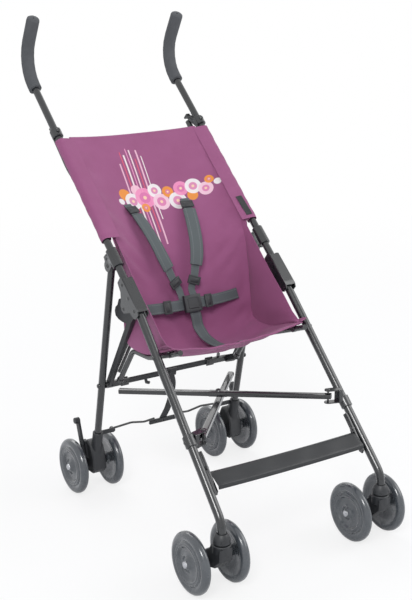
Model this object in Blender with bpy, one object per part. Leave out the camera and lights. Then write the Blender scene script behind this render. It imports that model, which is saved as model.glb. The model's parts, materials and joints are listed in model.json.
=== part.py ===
"""Lightweight umbrella-fold stroller, built as separate solids in one frame.

Units are metres. +Z is up, the child faces -Y, and +X is the right-hand side
seen from the front. Sizes are written from a point on the ground midway between the
axles; every node is then moved so that the origin is under the box's middle.
"""
import math

import bmesh
import bpy
from mathutils import Matrix, Vector

# Gaps and general sizes
GAP = 0.0003
BOX_MID_Y = 0.1020
SIDE_X = 0.187
TUBE_SEGMENTS = 12

# Tubes
PUSH_R = 0.008
LEG_R = 0.009
REAR_R = 0.008
RAIL_R = 0.006
BRACE_R = 0.007
GRIP_R = 0.0148

# Side frame, as (y, z)
KNEE = (0.036, 0.502)
PUSH_ANGLE = math.radians(41.3)
GRIP_START = 0.592
GRIP_CORNER = (0.5383, 0.9433)
GRIP_LEAN = 0.0603
GRIP_RISE = 0.1052
GRIP_BEND = 0.078
STEM = (-0.303, 0.114)
STEM_X = SIDE_X + 0.011
LEG_BEND = 0.050
LEG_CORNER_Z = 0.151
REAR_PIVOT = (0.135, 0.5585)
REAR_FOOT = (0.2281, 0.1160)
CROSS_BOLT = (0.195, 0.270)
LINK_PIN = (0.066, 0.482)
RAIL_PIVOT = (-0.053, 0.4093)
RAIL_TIP = (-0.088, 0.4225)
RAIL_MID = (0.036, 0.3765)
RAIL_BEND = (0.1050, 0.3725)
RAIL_END = (0.1690, 0.2832)

# Planes of the parts inside each side frame
LINK_X = SIDE_X - 0.018
LINK_T = 0.009
RAIL_X = SIDE_X - 0.031
WEB_X = SIDE_X - 0.0248
WEB_T = 0.0020

# Folding braces behind the seat
BRACE_TOP = (SIDE_X - 0.009, 0.4146, 0.8013)
BRACE_TURN = (SIDE_X - 0.014, 0.337, 0.722)
BRACE_FOOT = (SIDE_X - 0.0542, 0.228, 0.2833)
BRACE_STEP = 0.0118

# Folding cross bars under the seat
BAR_FRONT = (SIDE_X - 0.030, -0.172, 0.283)
BAR_REAR = (SIDE_X - 0.0409, 0.1796, 0.2441)
BAR_W = 0.016
BAR_H = 0.012
BAR_STEP = 0.0095
BAR_PIN_R = 0.0022
CLEVIS_H = 0.0250

# Folding rear crossbar, its lever and the brake rods
CROSS_BAR = (0.2240, 0.2587)
STRAP_PIN_X = SIDE_X - 0.0740
STRAP_H = 0.014
STRAP_T = 0.005
STRAP_STEP = 0.0030
LEVER_DROP = 0.127
ROD_R = 0.0026
ROD_PIN_X = SIDE_X - 0.041
ROD_TIP_X = 0.033
ROD_DROP = 0.113

# Wheels
WHEEL_R = 0.0635
WHEEL_HALF = 0.0112
TWIN = 0.045
AXLE_R = 0.0040
FRONT_AXLE = (-0.264, WHEEL_R)
REAR_AXLE = (0.258, WHEEL_R)
WHEEL_SEGMENTS = 24

# Footrest
FOOT_REAR = (-0.230, 0.2260)
FOOT_FRONT = (-0.268, 0.2060)
FOOT_HALF = SIDE_X - 0.0070
FOOT_T = 0.0030

# Seat sling
CLOTH_T = 0.0024
SLING_HALF = SIDE_X - 0.0230
WALL_X = SIDE_X - 0.0225

# Harness
STRAP_REST = 0.0016
WAIST_RISE = 0.0260
WAIST_ROW = 6.25
BAND_T = 0.0020
BUCKLE_T = 0.0100


def clear_scene():
    """Removes whatever the start-up file holds."""
    for item in list(bpy.data.objects):
        bpy.data.objects.remove(item, do_unlink=True)


def material(name, colour, rough, metal):
    """Makes one plain surface."""
    mat = bpy.data.materials.new(name)
    mat.use_nodes = True
    shader = mat.node_tree.nodes["Principled BSDF"]
    shader.inputs["Base Color"].default_value = (*colour, 1.0)
    shader.inputs["Roughness"].default_value = rough
    shader.inputs["Metallic"].default_value = metal
    mat.diffuse_color = (*colour, 1.0)
    return mat


TUBE_GREY = ((0.060, 0.064, 0.070), 0.38, 0.85)
PLASTIC = ((0.045, 0.048, 0.052), 0.50, 0.0)
FOAM = ((0.095, 0.100, 0.108), 0.85, 0.0)
WHEEL_GREY = ((0.075, 0.083, 0.092), 0.42, 0.0)
STEEL = ((0.55, 0.57, 0.60), 0.30, 1.0)
CLOTH = ((0.290, 0.085, 0.210), 0.90, 0.0)
WEBBING = ((0.115, 0.135, 0.135), 0.88, 0.0)
STRIP = ((0.062, 0.066, 0.072), 0.55, 0.0)


# Small geometry helpers

def unit(a, b):
    """Unit vector from point a to point b."""
    return (Vector(b) - Vector(a)).normalized()


def at(side, x, yz):
    """Point in a side plane: side is -1 for left, +1 for right."""
    return Vector((side * x, yz[0], yz[1]))


def push_point(s, v=0.0):
    """Point (y, z) at distance s up the push tube from the knee, v behind its axis."""
    c, q = math.cos(PUSH_ANGLE), math.sin(PUSH_ANGLE)
    return (KNEE[0] + s * c + v * q, KNEE[1] + s * q - v * c)


def rear_point(s, v=0.0):
    """Point (y, z) at distance s down the rear leg from its pivot, v behind its axis."""
    d = Vector((REAR_FOOT[0] - REAR_PIVOT[0], REAR_FOOT[1] - REAR_PIVOT[1])).normalized()
    return (REAR_PIVOT[0] + s * d.x - v * d.y, REAR_PIVOT[1] + s * d.y + v * d.x)


def rear_normal():
    """Direction square to the rear legs and to the stroller's width."""
    d = unit((0, *REAR_PIVOT), (0, *REAR_FOOT))
    return Vector((0, -d.z, d.y))


def rounded(points, radii, turn=14.0):
    """Polyline with each inner corner replaced by an arc of the given radius."""
    pts = [Vector(p) for p in points]
    out = [pts[0]]
    for i in range(1, len(pts) - 1):
        r = radii[i - 1]
        a = (pts[i - 1] - pts[i]).normalized()
        b = (pts[i + 1] - pts[i]).normalized()
        bend = math.pi - a.angle(b)
        if r <= 0 or bend < 0.01:
            out.append(pts[i])
            continue
        cut = r * math.tan(bend / 2)
        centre = pts[i] + (a + b).normalized() * (r / math.cos(bend / 2))
        start = pts[i] + a * cut - centre
        axis = (-a).cross(b).normalized()
        steps = max(2, math.ceil(math.degrees(bend) / turn))
        for k in range(steps + 1):
            out.append(centre + Matrix.Rotation(bend * k / steps, 3, axis) @ start)
    out.append(pts[-1])
    return out


def circle(r, n=TUBE_SEGMENTS):
    """Round section."""
    return [(r * math.cos(2 * math.pi * k / n), r * math.sin(2 * math.pi * k / n)) for k in range(n)]


def slab(w, h, r=0.0, n=3):
    """Rectangular section of width w and height h with rounded corners."""
    if r <= 0:
        return [(w / 2, h / 2), (-w / 2, h / 2), (-w / 2, -h / 2), (w / 2, -h / 2)]
    pts = []
    for cx, cy, start in ((1, 1, 0), (-1, 1, 90), (-1, -1, 180), (1, -1, 270)):
        for k in range(n + 1):
            a = math.radians(start + 90 * k / n)
            pts.append((cx * (w / 2 - r) + r * math.cos(a), cy * (h / 2 - r) + r * math.sin(a)))
    return pts


def stadium(p, q, r, n=7):
    """Outline of a plate with round ends, as (y, z) points."""
    d = Vector((q[0] - p[0], q[1] - p[1]))
    base = math.atan2(d.y, d.x)
    pts = []
    for centre, start in ((q, base - math.pi / 2), (p, base + math.pi / 2)):
        for k in range(n + 1):
            a = start + math.pi * k / n
            pts.append((centre[0] + r * math.cos(a), centre[1] + r * math.sin(a)))
    return pts


def solid(bm):
    """Closes up a new mesh and hands it back as a plain mesh block."""
    bm.normal_update()
    bmesh.ops.recalc_face_normals(bm, faces=bm.faces)
    mesh = bpy.data.meshes.new("shape")
    bm.to_mesh(mesh)
    bm.free()
    return mesh


def sweep(path, section, ref, bore=None, scales=None):
    """Sweeps a section along a path. ref fixes the section's first direction."""
    bm = bmesh.new()
    pts = [Vector(p) for p in path]
    rings = []
    for i, p in enumerate(pts):
        before = (p - pts[i - 1]).normalized() if i else (pts[1] - p).normalized()
        after = (pts[i + 1] - p).normalized() if i < len(pts) - 1 else before
        along = (before + after).normalized()
        u = (Vector(ref) - along * along.dot(Vector(ref))).normalized()
        v = along.cross(u)
        k = scales[i] if scales else 1.0
        row = [bm.verts.new(p + u * (a * k) + v * (b * k)) for a, b in section]
        inner = [bm.verts.new(p + u * a + v * b) for a, b in bore] if bore else None
        rings.append((row, inner))
    n = len(section)
    for (row, inner), (nrow, ninner) in zip(rings, rings[1:]):
        for k in range(n):
            bm.faces.new((row[k], row[(k + 1) % n], nrow[(k + 1) % n], nrow[k]))
            if bore:
                bm.faces.new((inner[k], ninner[k], ninner[(k + 1) % n], inner[(k + 1) % n]))
    for row, inner in (rings[0], rings[-1]):
        if bore:
            for k in range(n):
                bm.faces.new((row[k], row[(k + 1) % n], inner[(k + 1) % n], inner[k]))
        else:
            bm.faces.new(row)
    return solid(bm)


def lathe(origin, axis, profile, n=TUBE_SEGMENTS):
    """Turns a closed profile of (distance along the axis, radius) points."""
    bm = bmesh.new()
    axis = Vector(axis).normalized()
    u = axis.orthogonal().normalized()
    v = axis.cross(u)
    rings = []
    for d, r in profile:
        centre = Vector(origin) + axis * d
        if r < 1e-6:
            rings.append([bm.verts.new(centre)])
            continue
        angles = [2 * math.pi * k / n for k in range(n)]
        rings.append([bm.verts.new(centre + (u * math.cos(a) + v * math.sin(a)) * r) for a in angles])
    count = len(rings)
    for i in range(count):
        a, b = rings[i], rings[(i + 1) % count]
        if len(a) == 1 and len(b) == 1:
            continue
        for k in range(n):
            face = (a[0] if len(a) == 1 else a[k], b[0] if len(b) == 1 else b[k],
                    b[0] if len(b) == 1 else b[(k + 1) % n], a[0] if len(a) == 1 else a[(k + 1) % n])
            bm.faces.new(list(dict.fromkeys(face)))
    return solid(bm)


def bore_r(r, n=TUBE_SEGMENTS):
    """Radius of a faceted bore that clears a round part of radius r all round."""
    return (r + GAP) / math.cos(math.pi / n)


def rod(a, b, r, n=TUBE_SEGMENTS, cap=0.0):
    """Round bar from a to b; cap rounds both rims."""
    length = (Vector(b) - Vector(a)).length
    if cap > 0:
        prof = [(0, 0), (0, r - cap), (cap, r), (length - cap, r), (length, r - cap), (length, 0)]
    else:
        prof = [(0, 0), (0, r), (length, r), (length, 0)]
    return lathe(a, Vector(b) - Vector(a), prof, n)


def dome(base, axis, r, height, n=8, sink=0.001):
    """Low round head standing on a face, rooted a little below it."""
    prof = [(-sink, 0), (-sink, r), (0, r), (height * 0.65, r * 0.80), (height, r * 0.35), (height, 0)]
    return lathe(base, axis, prof, n)


def plate(outline, x0, x1, bevel=0.0):
    """Plate cut from a (y, z) outline and standing between two x planes."""
    bm = bmesh.new()
    low, high = min(x0, x1), max(x0, x1)
    rows = []
    if bevel > 0:
        cy = sum(p[0] for p in outline) / len(outline)
        cz = sum(p[1] for p in outline) / len(outline)
        small = []
        for y, z in outline:
            d = math.hypot(y - cy, z - cz)
            small.append((y - (y - cy) / d * bevel, z - (z - cz) / d * bevel))
        layers = ((low, small), (low + bevel, outline), (high - bevel, outline), (high, small))
    else:
        layers = ((low, outline), (high, outline))
    for x, shape in layers:
        rows.append([bm.verts.new((x, y, z)) for y, z in shape])
    n = len(outline)
    for a, b in zip(rows, rows[1:]):
        for k in range(n):
            bm.faces.new((a[k], a[(k + 1) % n], b[(k + 1) % n], b[k]))
    bm.faces.new(rows[0])
    bm.faces.new(rows[-1])
    return solid(bm)


def block(centre, axes, size, bevel=0.0):
    """Box with its own axes; bevel softens every edge."""
    bm = bmesh.new()
    bmesh.ops.create_cube(bm, size=1.0)
    for vert in bm.verts:
        vert.co = Vector((vert.co.x * size[0], vert.co.y * size[1], vert.co.z * size[2]))
    if bevel > 0:
        bmesh.ops.bevel(bm, geom=list(bm.edges), offset=bevel, segments=1, affect="EDGES")
    u, v, w = (Vector(a) for a in axes)
    for vert in bm.verts:
        vert.co = Vector(centre) + u * vert.co.x + v * vert.co.y + w * vert.co.z
    return solid(bm)


def is_whole(mesh):
    """True when a mesh is one body and every edge has exactly two faces."""
    bm = bmesh.new()
    bm.from_mesh(mesh)
    closed = all(len(edge.link_faces) == 2 for edge in bm.edges)
    todo = {bm.faces[:][0]} if closed and len(bm.faces) else set()
    seen = set(todo)
    while todo:
        face = todo.pop()
        near = {other for edge in face.edges for other in edge.link_faces} - seen
        seen |= near
        todo |= near
    whole = closed and len(seen) == len(bm.faces)
    bm.free()
    return whole


def boolean(base, mesh, operation):
    """Applies one Boolean; the exact solver first, the manifold one where it fails."""
    tool = bpy.data.objects.new("tool", mesh)
    bpy.context.scene.collection.objects.link(tool)
    start = base.data
    for solver in ("EXACT", "MANIFOLD"):
        base.data = start
        mod = base.modifiers.new("cut", "BOOLEAN")
        mod.operation = operation
        mod.solver = solver
        mod.object = tool
        graph = bpy.context.evaluated_depsgraph_get()
        graph.update()
        done = bpy.data.meshes.new_from_object(base.evaluated_get(graph))
        base.modifiers.clear()
        base.data = done
        if is_whole(done):
            break
    bpy.data.objects.remove(tool, do_unlink=True)


def combine(name, adds, cuts=()):
    """Fuses meshes with Booleans and returns one solid."""
    base = bpy.data.objects.new(name, adds[0])
    bpy.context.scene.collection.objects.link(base)
    for mesh in adds[1:]:
        boolean(base, mesh, "UNION")
    for mesh in cuts:
        boolean(base, mesh, "DIFFERENCE")
    tidy = bmesh.new()
    tidy.from_mesh(base.data)
    bmesh.ops.remove_doubles(tidy, verts=tidy.verts, dist=0.00002)
    bmesh.ops.dissolve_degenerate(tidy, edges=tidy.edges, dist=0.00001)
    bmesh.ops.dissolve_limit(tidy, angle_limit=0.003, verts=tidy.verts, edges=tidy.edges)
    bmesh.ops.triangulate(tidy, faces=[face for face in tidy.faces if len(face.verts) > 4])
    bmesh.ops.recalc_face_normals(tidy, faces=tidy.faces)
    if all(len(edge.link_faces) == 2 for edge in tidy.edges):
        tidy.to_mesh(base.data)
    tidy.free()
    return base


def piece(name, finish, adds, cuts=(), pivot=None):
    """Makes one finished node with its own surface and its origin on its pivot."""
    obj = combine(name, list(adds), list(cuts))
    obj.name = name
    obj.data.name = name
    obj.data.materials.clear()
    obj.data.materials.append(material(name, *finish))
    for poly in obj.data.polygons:
        poly.material_index = 0
    middle = Vector((0, BOX_MID_Y, 0))
    obj.data.transform(Matrix.Translation(-middle))
    if pivot is not None:
        spot = Vector(pivot) - middle
        obj.data.transform(Matrix.Translation(-spot))
        obj.location = spot
    return obj


def side_name(side):
    """Suffix of the left or right copy."""
    return "l" if side < 0 else "r"


# Push tube, grip and connectors

def push_path(side, start, end_cut=0.0):
    """Centre line of the push tube from a distance above the knee to the grip's end."""
    corner = Vector(GRIP_CORNER)
    top = corner + Vector((-GRIP_LEAN, GRIP_RISE))
    tip = top + (corner - top).normalized() * end_cut
    pts = [at(side, SIDE_X, push_point(start)), at(side, SIDE_X, GRIP_CORNER), at(side, SIDE_X, tip)]
    return rounded(pts, [GRIP_BEND], 14.0)


def push_tube(side):
    """Steel push tube, bent up inside the grip."""
    path = push_path(side, -0.008, 0.014)
    tag = side_name(side)
    spot = push_point(0.012)
    hole = rod(at(side, SIDE_X - 0.02, spot), at(side, SIDE_X + 0.02, spot), 0.0030, 10)
    return piece(f"push_tube_{tag}", TUBE_GREY, [sweep(path, circle(PUSH_R), (1, 0, 0))], [hole])


def grip(side):
    """Foam grip pulled over the bent end of the push tube, with a vent in its end."""
    path = push_path(side, GRIP_START)
    scales = [1.0] * len(path)
    scales[0] = 0.93
    path.insert(1, path[0].lerp(path[1], 0.05))
    scales.insert(1, 1.0)
    tip = path[-1]
    run = (tip - path[-2]).normalized()
    path[-1] = tip - run * 0.004
    path += [tip, tip + run * 0.0022]
    scales += [0.93, 0.72]
    outer = sweep(path, circle(GRIP_R, 16), (1, 0, 0), scales=scales)
    hole = push_path(side, GRIP_START - 0.005, 0.0125)
    bore = sweep(hole, circle(bore_r(PUSH_R)), (1, 0, 0))
    vent = rod(tip - run * 0.020, tip + run * 0.010, 0.0022, 8)
    return piece(f"grip_{side_name(side)}", FOAM, [outer], [bore, vent])


def top_connector(side):
    """Clamp on the push tube that carries the rear brace."""
    s = 0.458
    a = at(side, SIDE_X, push_point(s - 0.011))
    b = at(side, SIDE_X, push_point(s + 0.011))
    ring = rod(a, b, 0.0128, 16, 0.0015)
    back = (at(side, SIDE_X, push_point(s, 0.01)) - at(side, SIDE_X, push_point(s))).normalized()
    along = (b - a).normalized()
    centre = (a + b) / 2
    boss = rod(centre - back * 0.010, centre - back * 0.0165, 0.0048, 10, 0.001)
    seat = Vector((side * BRACE_TOP[0], BRACE_TOP[1], BRACE_TOP[2]))
    root = centre + back * 0.008
    foot = Vector((seat.x, *(root + along * 0.020).yz))
    arm_end = seat - back * (BRACE_R + 2 * GAP + 0.003)
    arm = sweep([root, arm_end - back * 0.004], slab(0.014, 0.012, 0.003, 2), (1, 0, 0))
    pad = rod(arm_end - back * 0.007, arm_end + back * 0.003, 0.0050, 14, 0.0008)
    loop_a = arm_end + along * 0.0120
    hook = sweep([arm_end, loop_a, loop_a + back * 0.012], slab(0.011, 0.005, 0.001, 1), (1, 0, 0))
    bore = rod(a - along * 0.02, b + along * 0.04, bore_r(PUSH_R))
    return piece(f"top_connector_{side_name(side)}", PLASTIC, [ring, boss, arm, pad, hook], [bore])


def pivot_collar(side):
    """Collar on the push tube with two ears that hold the rear leg's top."""
    foot = Vector(REAR_PIVOT)
    base = Vector(KNEE)
    u = Vector((math.cos(PUSH_ANGLE), math.sin(PUSH_ANGLE)))
    s = (foot - base).dot(u)
    a = at(side, SIDE_X, push_point(s - 0.020))
    b = at(side, SIDE_X, push_point(s + 0.024))
    along = (b - a).normalized()
    ring = rod(a, b, 0.0125, 16, 0.0012)
    adds = [ring]
    lift = 0.012
    top = (REAR_PIVOT[0] + lift * u.x, REAR_PIVOT[1] + lift * u.y)
    root = push_point(s + 0.010, 0.004)
    low = push_point(s - 0.012, 0.004)
    outline = [root, push_point(s + 0.021, 0.009), push_point(s + 0.022, 0.020)]
    outline += [(REAR_PIVOT[0] + 0.0125 * math.cos(t), REAR_PIVOT[1] + 0.0125 * math.sin(t))
                for t in (math.radians(k) for k in (40, 15, -10, -35, -60, -85, -110, -135))]
    outline += [low]
    inner = REAR_R + 0.0005
    for sign in (-1, 1):
        x0 = side * SIDE_X + sign * inner
        adds.append(plate(outline, x0, x0 + sign * 0.0030))
        head = Vector((x0 + sign * 0.0030, *REAR_PIVOT))
        adds.append(dome(head, (sign, 0, 0), 0.0052, 0.0024))
        spot = push_point(s + 0.013, 0.015)
        adds.append(dome(Vector((x0 + sign * 0.0030, *spot)), (sign, 0, 0), 0.0036, 0.0016, 8))
    pin_a = Vector((side * SIDE_X - inner - 0.001, *REAR_PIVOT))
    pin_b = Vector((side * SIDE_X + inner + 0.001, *REAR_PIVOT))
    adds.append(rod(pin_a, pin_b, 0.0030, 10))
    bore = rod(a - along * 0.004, b + along * 0.004, bore_r(PUSH_R))
    return piece(f"pivot_collar_{side_name(side)}", PLASTIC, adds, [bore])


def knee_bracket(side):
    """Pressed channel that joins push tube, front leg and side link."""
    c = (math.cos(PUSH_ANGLE), math.sin(PUSH_ANGLE))
    spots = [(0.056, -0.0105), (0.061, -0.004), (0.060, 0.011), (0.040, 0.016), (0.026, 0.030),
             (0.021, 0.039), (0.012, 0.043), (0.002, 0.040), (-0.004, 0.031), (-0.012, 0.017),
             (-0.030, 0.013), (-0.036, 0.006), (-0.036, -0.0075), (-0.028, -0.0120)]
    outline = [push_point(s, v) for s, v in spots]
    adds = []
    wall = 0.0022
    inner = LEG_R + 0.0017
    for sign in (-1, 1):
        x0 = side * SIDE_X + sign * inner
        adds.append(plate(outline, x0, x0 + sign * wall))
        if sign != side:
            continue
        for spot in (push_point(0.012), push_point(-0.020, 0.0005), push_point(0.046), LINK_PIN):
            adds.append(dome(Vector((x0 + sign * wall, *spot)), (sign, 0, 0), 0.0042, 0.0020, 8))
    spine = [push_point(-0.030, -0.0118), push_point(0.055, -0.0118),
             push_point(0.055, -0.0095), push_point(-0.030, -0.0095)]
    adds.append(plate(spine, side * SIDE_X - inner - 0.001, side * SIDE_X + inner + 0.001))
    for spot, r in ((push_point(0.012), 0.0026), (push_point(-0.020, 0.0005), 0.0026)):
        adds.append(rod(Vector((side * SIDE_X - inner - 0.001, *spot)),
                        Vector((side * SIDE_X + inner + 0.001, *spot)), r, 10))
    return piece(f"knee_bracket_{side_name(side)}", TUBE_GREY, adds)


def leg_line(z):
    """Centre line (x, y, z) of the straight part of the front leg at height z."""
    corner = Vector((STEM_X, STEM[0], LEG_CORNER_Z))
    top = Vector((SIDE_X, KNEE[0], KNEE[1]))
    t = (KNEE[1] - z) / (KNEE[1] - LEG_CORNER_Z)
    return top.lerp(corner, t)


def leg_at(side, z):
    """Point on the front leg's centre line on one side."""
    p = leg_line(z)
    return Vector((side * p.x, p.y, p.z))


def leg_run(side):
    """Direction down the straight part of the front leg."""
    return (leg_at(side, 0.2) - leg_at(side, 0.4)).normalized()


def front_leg(side):
    """Front leg tube, bent down into the castor, with the seat rail's pivot stud."""
    start = leg_at(side, KNEE[1]) + leg_run(side) * 0.0105
    pts = [start, leg_at(side, LEG_CORNER_Z), Vector((side * STEM_X, STEM[0], STEM[1]))]
    tube = sweep(rounded(pts, [LEG_BEND], 9.0), circle(LEG_R), (1, 0, 0))
    hole = rod(Vector((side * (SIDE_X - 0.027), *push_point(-0.020, 0.0005))),
               Vector((side * (SIDE_X + 0.028), *push_point(-0.020, 0.0005))), 0.0030, 10)
    stud = leg_at(side, RAIL_PIVOT[1])
    pin = rod(Vector((side * (RAIL_X + RAIL_R + GAP), *RAIL_PIVOT)),
              Vector((side * (stud.x * side), *RAIL_PIVOT)), 0.0045, 12)
    head = dome(Vector((stud.x + side * LEG_R, *RAIL_PIVOT)), (side, 0, 0), 0.0045, 0.0020, 8, 0.003)
    return piece(f"front_leg_{side_name(side)}", TUBE_GREY, [tube, pin, head], [hole])


def rear_leg(side):
    """Straight rear leg, bored for its pivot and for the cross bolt."""
    a = at(side, SIDE_X, rear_point(-0.0055))
    b = at(side, SIDE_X, REAR_FOOT)
    tube = sweep([a, b], circle(REAR_R), (1, 0, 0))
    cuts = []
    for spot, r in ((REAR_PIVOT, 0.0033), (CROSS_BOLT, 0.0043)):
        cuts.append(rod(at(side, SIDE_X - 0.02, spot), at(side, SIDE_X + 0.02, spot), r, 10))
    pivot = at(side, SIDE_X, REAR_PIVOT)
    return piece(f"rear_leg_{side_name(side)}", TUBE_GREY, [tube], cuts, pivot)


def side_link(side):
    """Diagonal link from the cross bolt up to the knee, with a claw that rests on the leg."""
    lo = Vector(CROSS_BOLT)
    hi = Vector(LINK_PIN)
    d = (hi - lo).normalized()
    x0 = side * (LINK_X - LINK_T / 2)
    x1 = side * (LINK_X + LINK_T / 2)
    bar = plate(stadium(lo, lo + d * 0.226, 0.0072), x0, x1, 0.0012)
    claw = side_claw(side, x0, x1)
    bore = rod(at(side, LINK_X - 0.02, CROSS_BOLT), at(side, LINK_X + 0.02, CROSS_BOLT), 0.0043, 12)
    pivot = at(side, LINK_X, CROSS_BOLT)
    return piece(f"side_link_{side_name(side)}", PLASTIC, [bar, claw], [bore], pivot)


def side_claw(side, x0, x1):
    """Hooked head of the side link."""
    lo = Vector(CROSS_BOLT)
    d = (Vector(LINK_PIN) - lo).normalized()
    v = Vector((d.y, -d.x))
    spots = [(0.196, -0.004), (0.190, 0.008), (0.181, 0.022), (0.174, 0.037), (0.172, 0.050),
             (0.178, 0.058), (0.188, 0.060), (0.199, 0.056), (0.214, 0.058), (0.220, 0.054),
             (0.218, 0.046), (0.209, 0.040), (0.213, 0.022), (0.226, 0.008), (0.236, 0.004),
             (0.238, -0.006), (0.222, -0.010)]
    outline = [tuple(lo + d * s + v * w) for s, w in spots]
    grow = side * 0.0012
    return plate(outline, x0 + grow, x1 + side * 0.0002, 0.0)


def seat_rail(side):
    """Bent rail at the seat's edge; its rear end rests behind the cross bolt."""
    pts = [at(side, RAIL_X, p) for p in (RAIL_TIP, RAIL_PIVOT, RAIL_MID, RAIL_BEND, RAIL_END)]
    path = rounded(pts, [0.03, 0.05, 0.028], 12.0)
    tube = sweep(path, circle(RAIL_R, 12), (1, 0, 0))
    hub = rod(at(side, RAIL_X + RAIL_R, RAIL_PIVOT), at(side, RAIL_X - RAIL_R - 0.0006, RAIL_PIVOT), 0.0066, 12)
    end = at(side, RAIL_X, RAIL_END)
    run = unit(at(side, RAIL_X, RAIL_BEND), end)
    eye = rod(end - run * 0.0080, end + run * 0.0015, 0.0078, 14, 0.0008)
    bolt = dome(end + run * 0.0015, run, 0.0052, 0.0028, 10)
    pivot = at(side, RAIL_X, RAIL_PIVOT)
    return piece(f"seat_rail_{side_name(side)}", TUBE_GREY, [tube, hub, eye, bolt], (), pivot)


def rear_bracket(side):
    """Cross bolt through the rear leg with an arm back to the crossbar's clevis."""
    n = rear_normal()
    down = unit((0, *REAR_PIVOT), (0, *REAR_FOOT))
    base = at(side, 0.0, CROSS_BOLT)
    rear = at(side, 0.0, CROSS_BAR)
    x = Vector((side, 0, 0))
    frame = (x, n, down)
    shank = rod(base + x * (WEB_X + 0.0003), base + x * (SIDE_X + REAR_R + 0.0015), 0.0040, 12)
    head = dome(base + x * (SIDE_X + REAR_R + 0.0007), x, 0.0058, 0.0035, 10, 0.0)
    washer = rod(base + x * (LINK_X + LINK_T / 2 + GAP), base + x * (SIDE_X - REAR_R - GAP), 0.0078, 14)
    web = plate(stadium(CROSS_BOLT, CROSS_BAR, 0.0088), side * WEB_X, side * (WEB_X + WEB_T))
    step = -STRAP_STEP if side < 0 else STRAP_STEP
    half = STRAP_T / 2 + 0.0005
    root = STRAP_PIN_X + 0.0120
    arm_end = WEB_X + WEB_T / 2
    arm = block(rear + x * (root - 0.0015 + arm_end) / 2 + n * step, frame,
                (arm_end - root + 0.0015, 0.0090, 0.0140), 0.0010)
    adds = [shank, head, washer, web, arm]
    for sign in (-1, 1):
        v = step + sign * (half + 0.0015)
        adds.append(block(rear + x * (STRAP_PIN_X + 0.0040) + n * v, frame, (0.0210, 0.0030, 0.0170), 0.0008))
        face = rear + x * STRAP_PIN_X + n * (v + sign * 0.0015)
        adds.append(dome(face, n * sign, 0.0042, 0.0018, 8))
    pin = rear + x * STRAP_PIN_X
    adds.append(rod(pin + n * (step - half - 0.002), pin + n * (step + half + 0.002), 0.0026, 10))
    lug = block(at(side, SIDE_X - 0.0440, (CROSS_BAR[0] + 0.004, CROSS_BAR[1] + 0.0105)), frame,
                (0.0026, 0.011, 0.016), 0.0008)
    adds.append(lug)
    return piece(f"rear_bracket_{side_name(side)}", TUBE_GREY, adds)


def front_bracket(side):
    """Clamp on the front leg with a deep clevis for the lower cross bar."""
    run = leg_run(side)
    here = leg_at(side, 0.2750)
    ring = rod(here - run * 0.012, here + run * 0.012, 0.0122, 16, 0.001)
    bore = rod(here - run * 0.03, here + run * 0.03, bore_r(LEG_R))
    step = BAR_STEP if side > 0 else -BAR_STEP
    pin = Vector((side * BAR_FRONT[0], BAR_FRONT[1], BAR_FRONT[2] + step))
    clear = CLEVIS_H / 2
    adds = [ring]
    root = Vector((side * (SIDE_X - 0.007), here.y + 0.004, pin.z))
    for sign in (-1, 1):
        z = pin.z + sign * (clear + 0.0012)
        arm = sweep([Vector((root.x, root.y, z)), Vector((pin.x, pin.y, z))],
                    slab(0.0024, 0.016, 0.0), (0, 0, 1))
        adds.append(arm)
        adds.append(rod(Vector((pin.x, pin.y, z - 0.0012)), Vector((pin.x, pin.y, z + 0.0012)), 0.0080, 14))
        adds.append(dome(Vector((pin.x, pin.y, z + sign * 0.0012)), (0, 0, sign), 0.0042, 0.0022, 8))
    back = block(Vector((side * (SIDE_X - 0.008), here.y + 0.0035, pin.z)), ((1, 0, 0), (0, 1, 0), (0, 0, 1)),
                 (0.0090, 0.018, 2 * clear + 0.0048), 0.001)
    adds.append(back)
    adds.append(rod(Vector((pin.x, pin.y, pin.z - clear - 0.0012)),
                    Vector((pin.x, pin.y, pin.z + clear + 0.0012)), BAR_PIN_R, 10))
    bolt = dome(here + Vector((side * 0.0115, 0, 0)), (side, 0, 0), 0.0046, 0.0022, 8)
    adds.append(bolt)
    return piece(f"front_bracket_{side_name(side)}", TUBE_GREY, adds, [bore])


# Braces, bars and straps that fold

def brace_path(side):
    """Centre line of the rear brace that starts at the top of one side."""
    step = BRACE_STEP if side < 0 else -BRACE_STEP
    top = Vector((side * BRACE_TOP[0], BRACE_TOP[1], BRACE_TOP[2]))
    turn = Vector((side * BRACE_TURN[0], BRACE_TURN[1] + step * 0.5, BRACE_TURN[2]))
    foot = Vector((-side * BRACE_FOOT[0], BRACE_FOOT[1] + step * 0.55, BRACE_FOOT[2]))
    mid = turn.lerp(foot, 0.56) + Vector((0, step * 0.45, 0))
    return rounded([top, turn, mid, foot], [0.055, 0.5], 12.0)


def rear_brace(side):
    """Round brace from a push tube's top to the opposite rear leg."""
    path = brace_path(side)
    tube = sweep(path, circle(BRACE_R, 12), (0, 1, 0.2))
    pivot = path[0]
    return piece(f"rear_brace_{side_name(side)}", TUBE_GREY, [tube], (), pivot)


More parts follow.
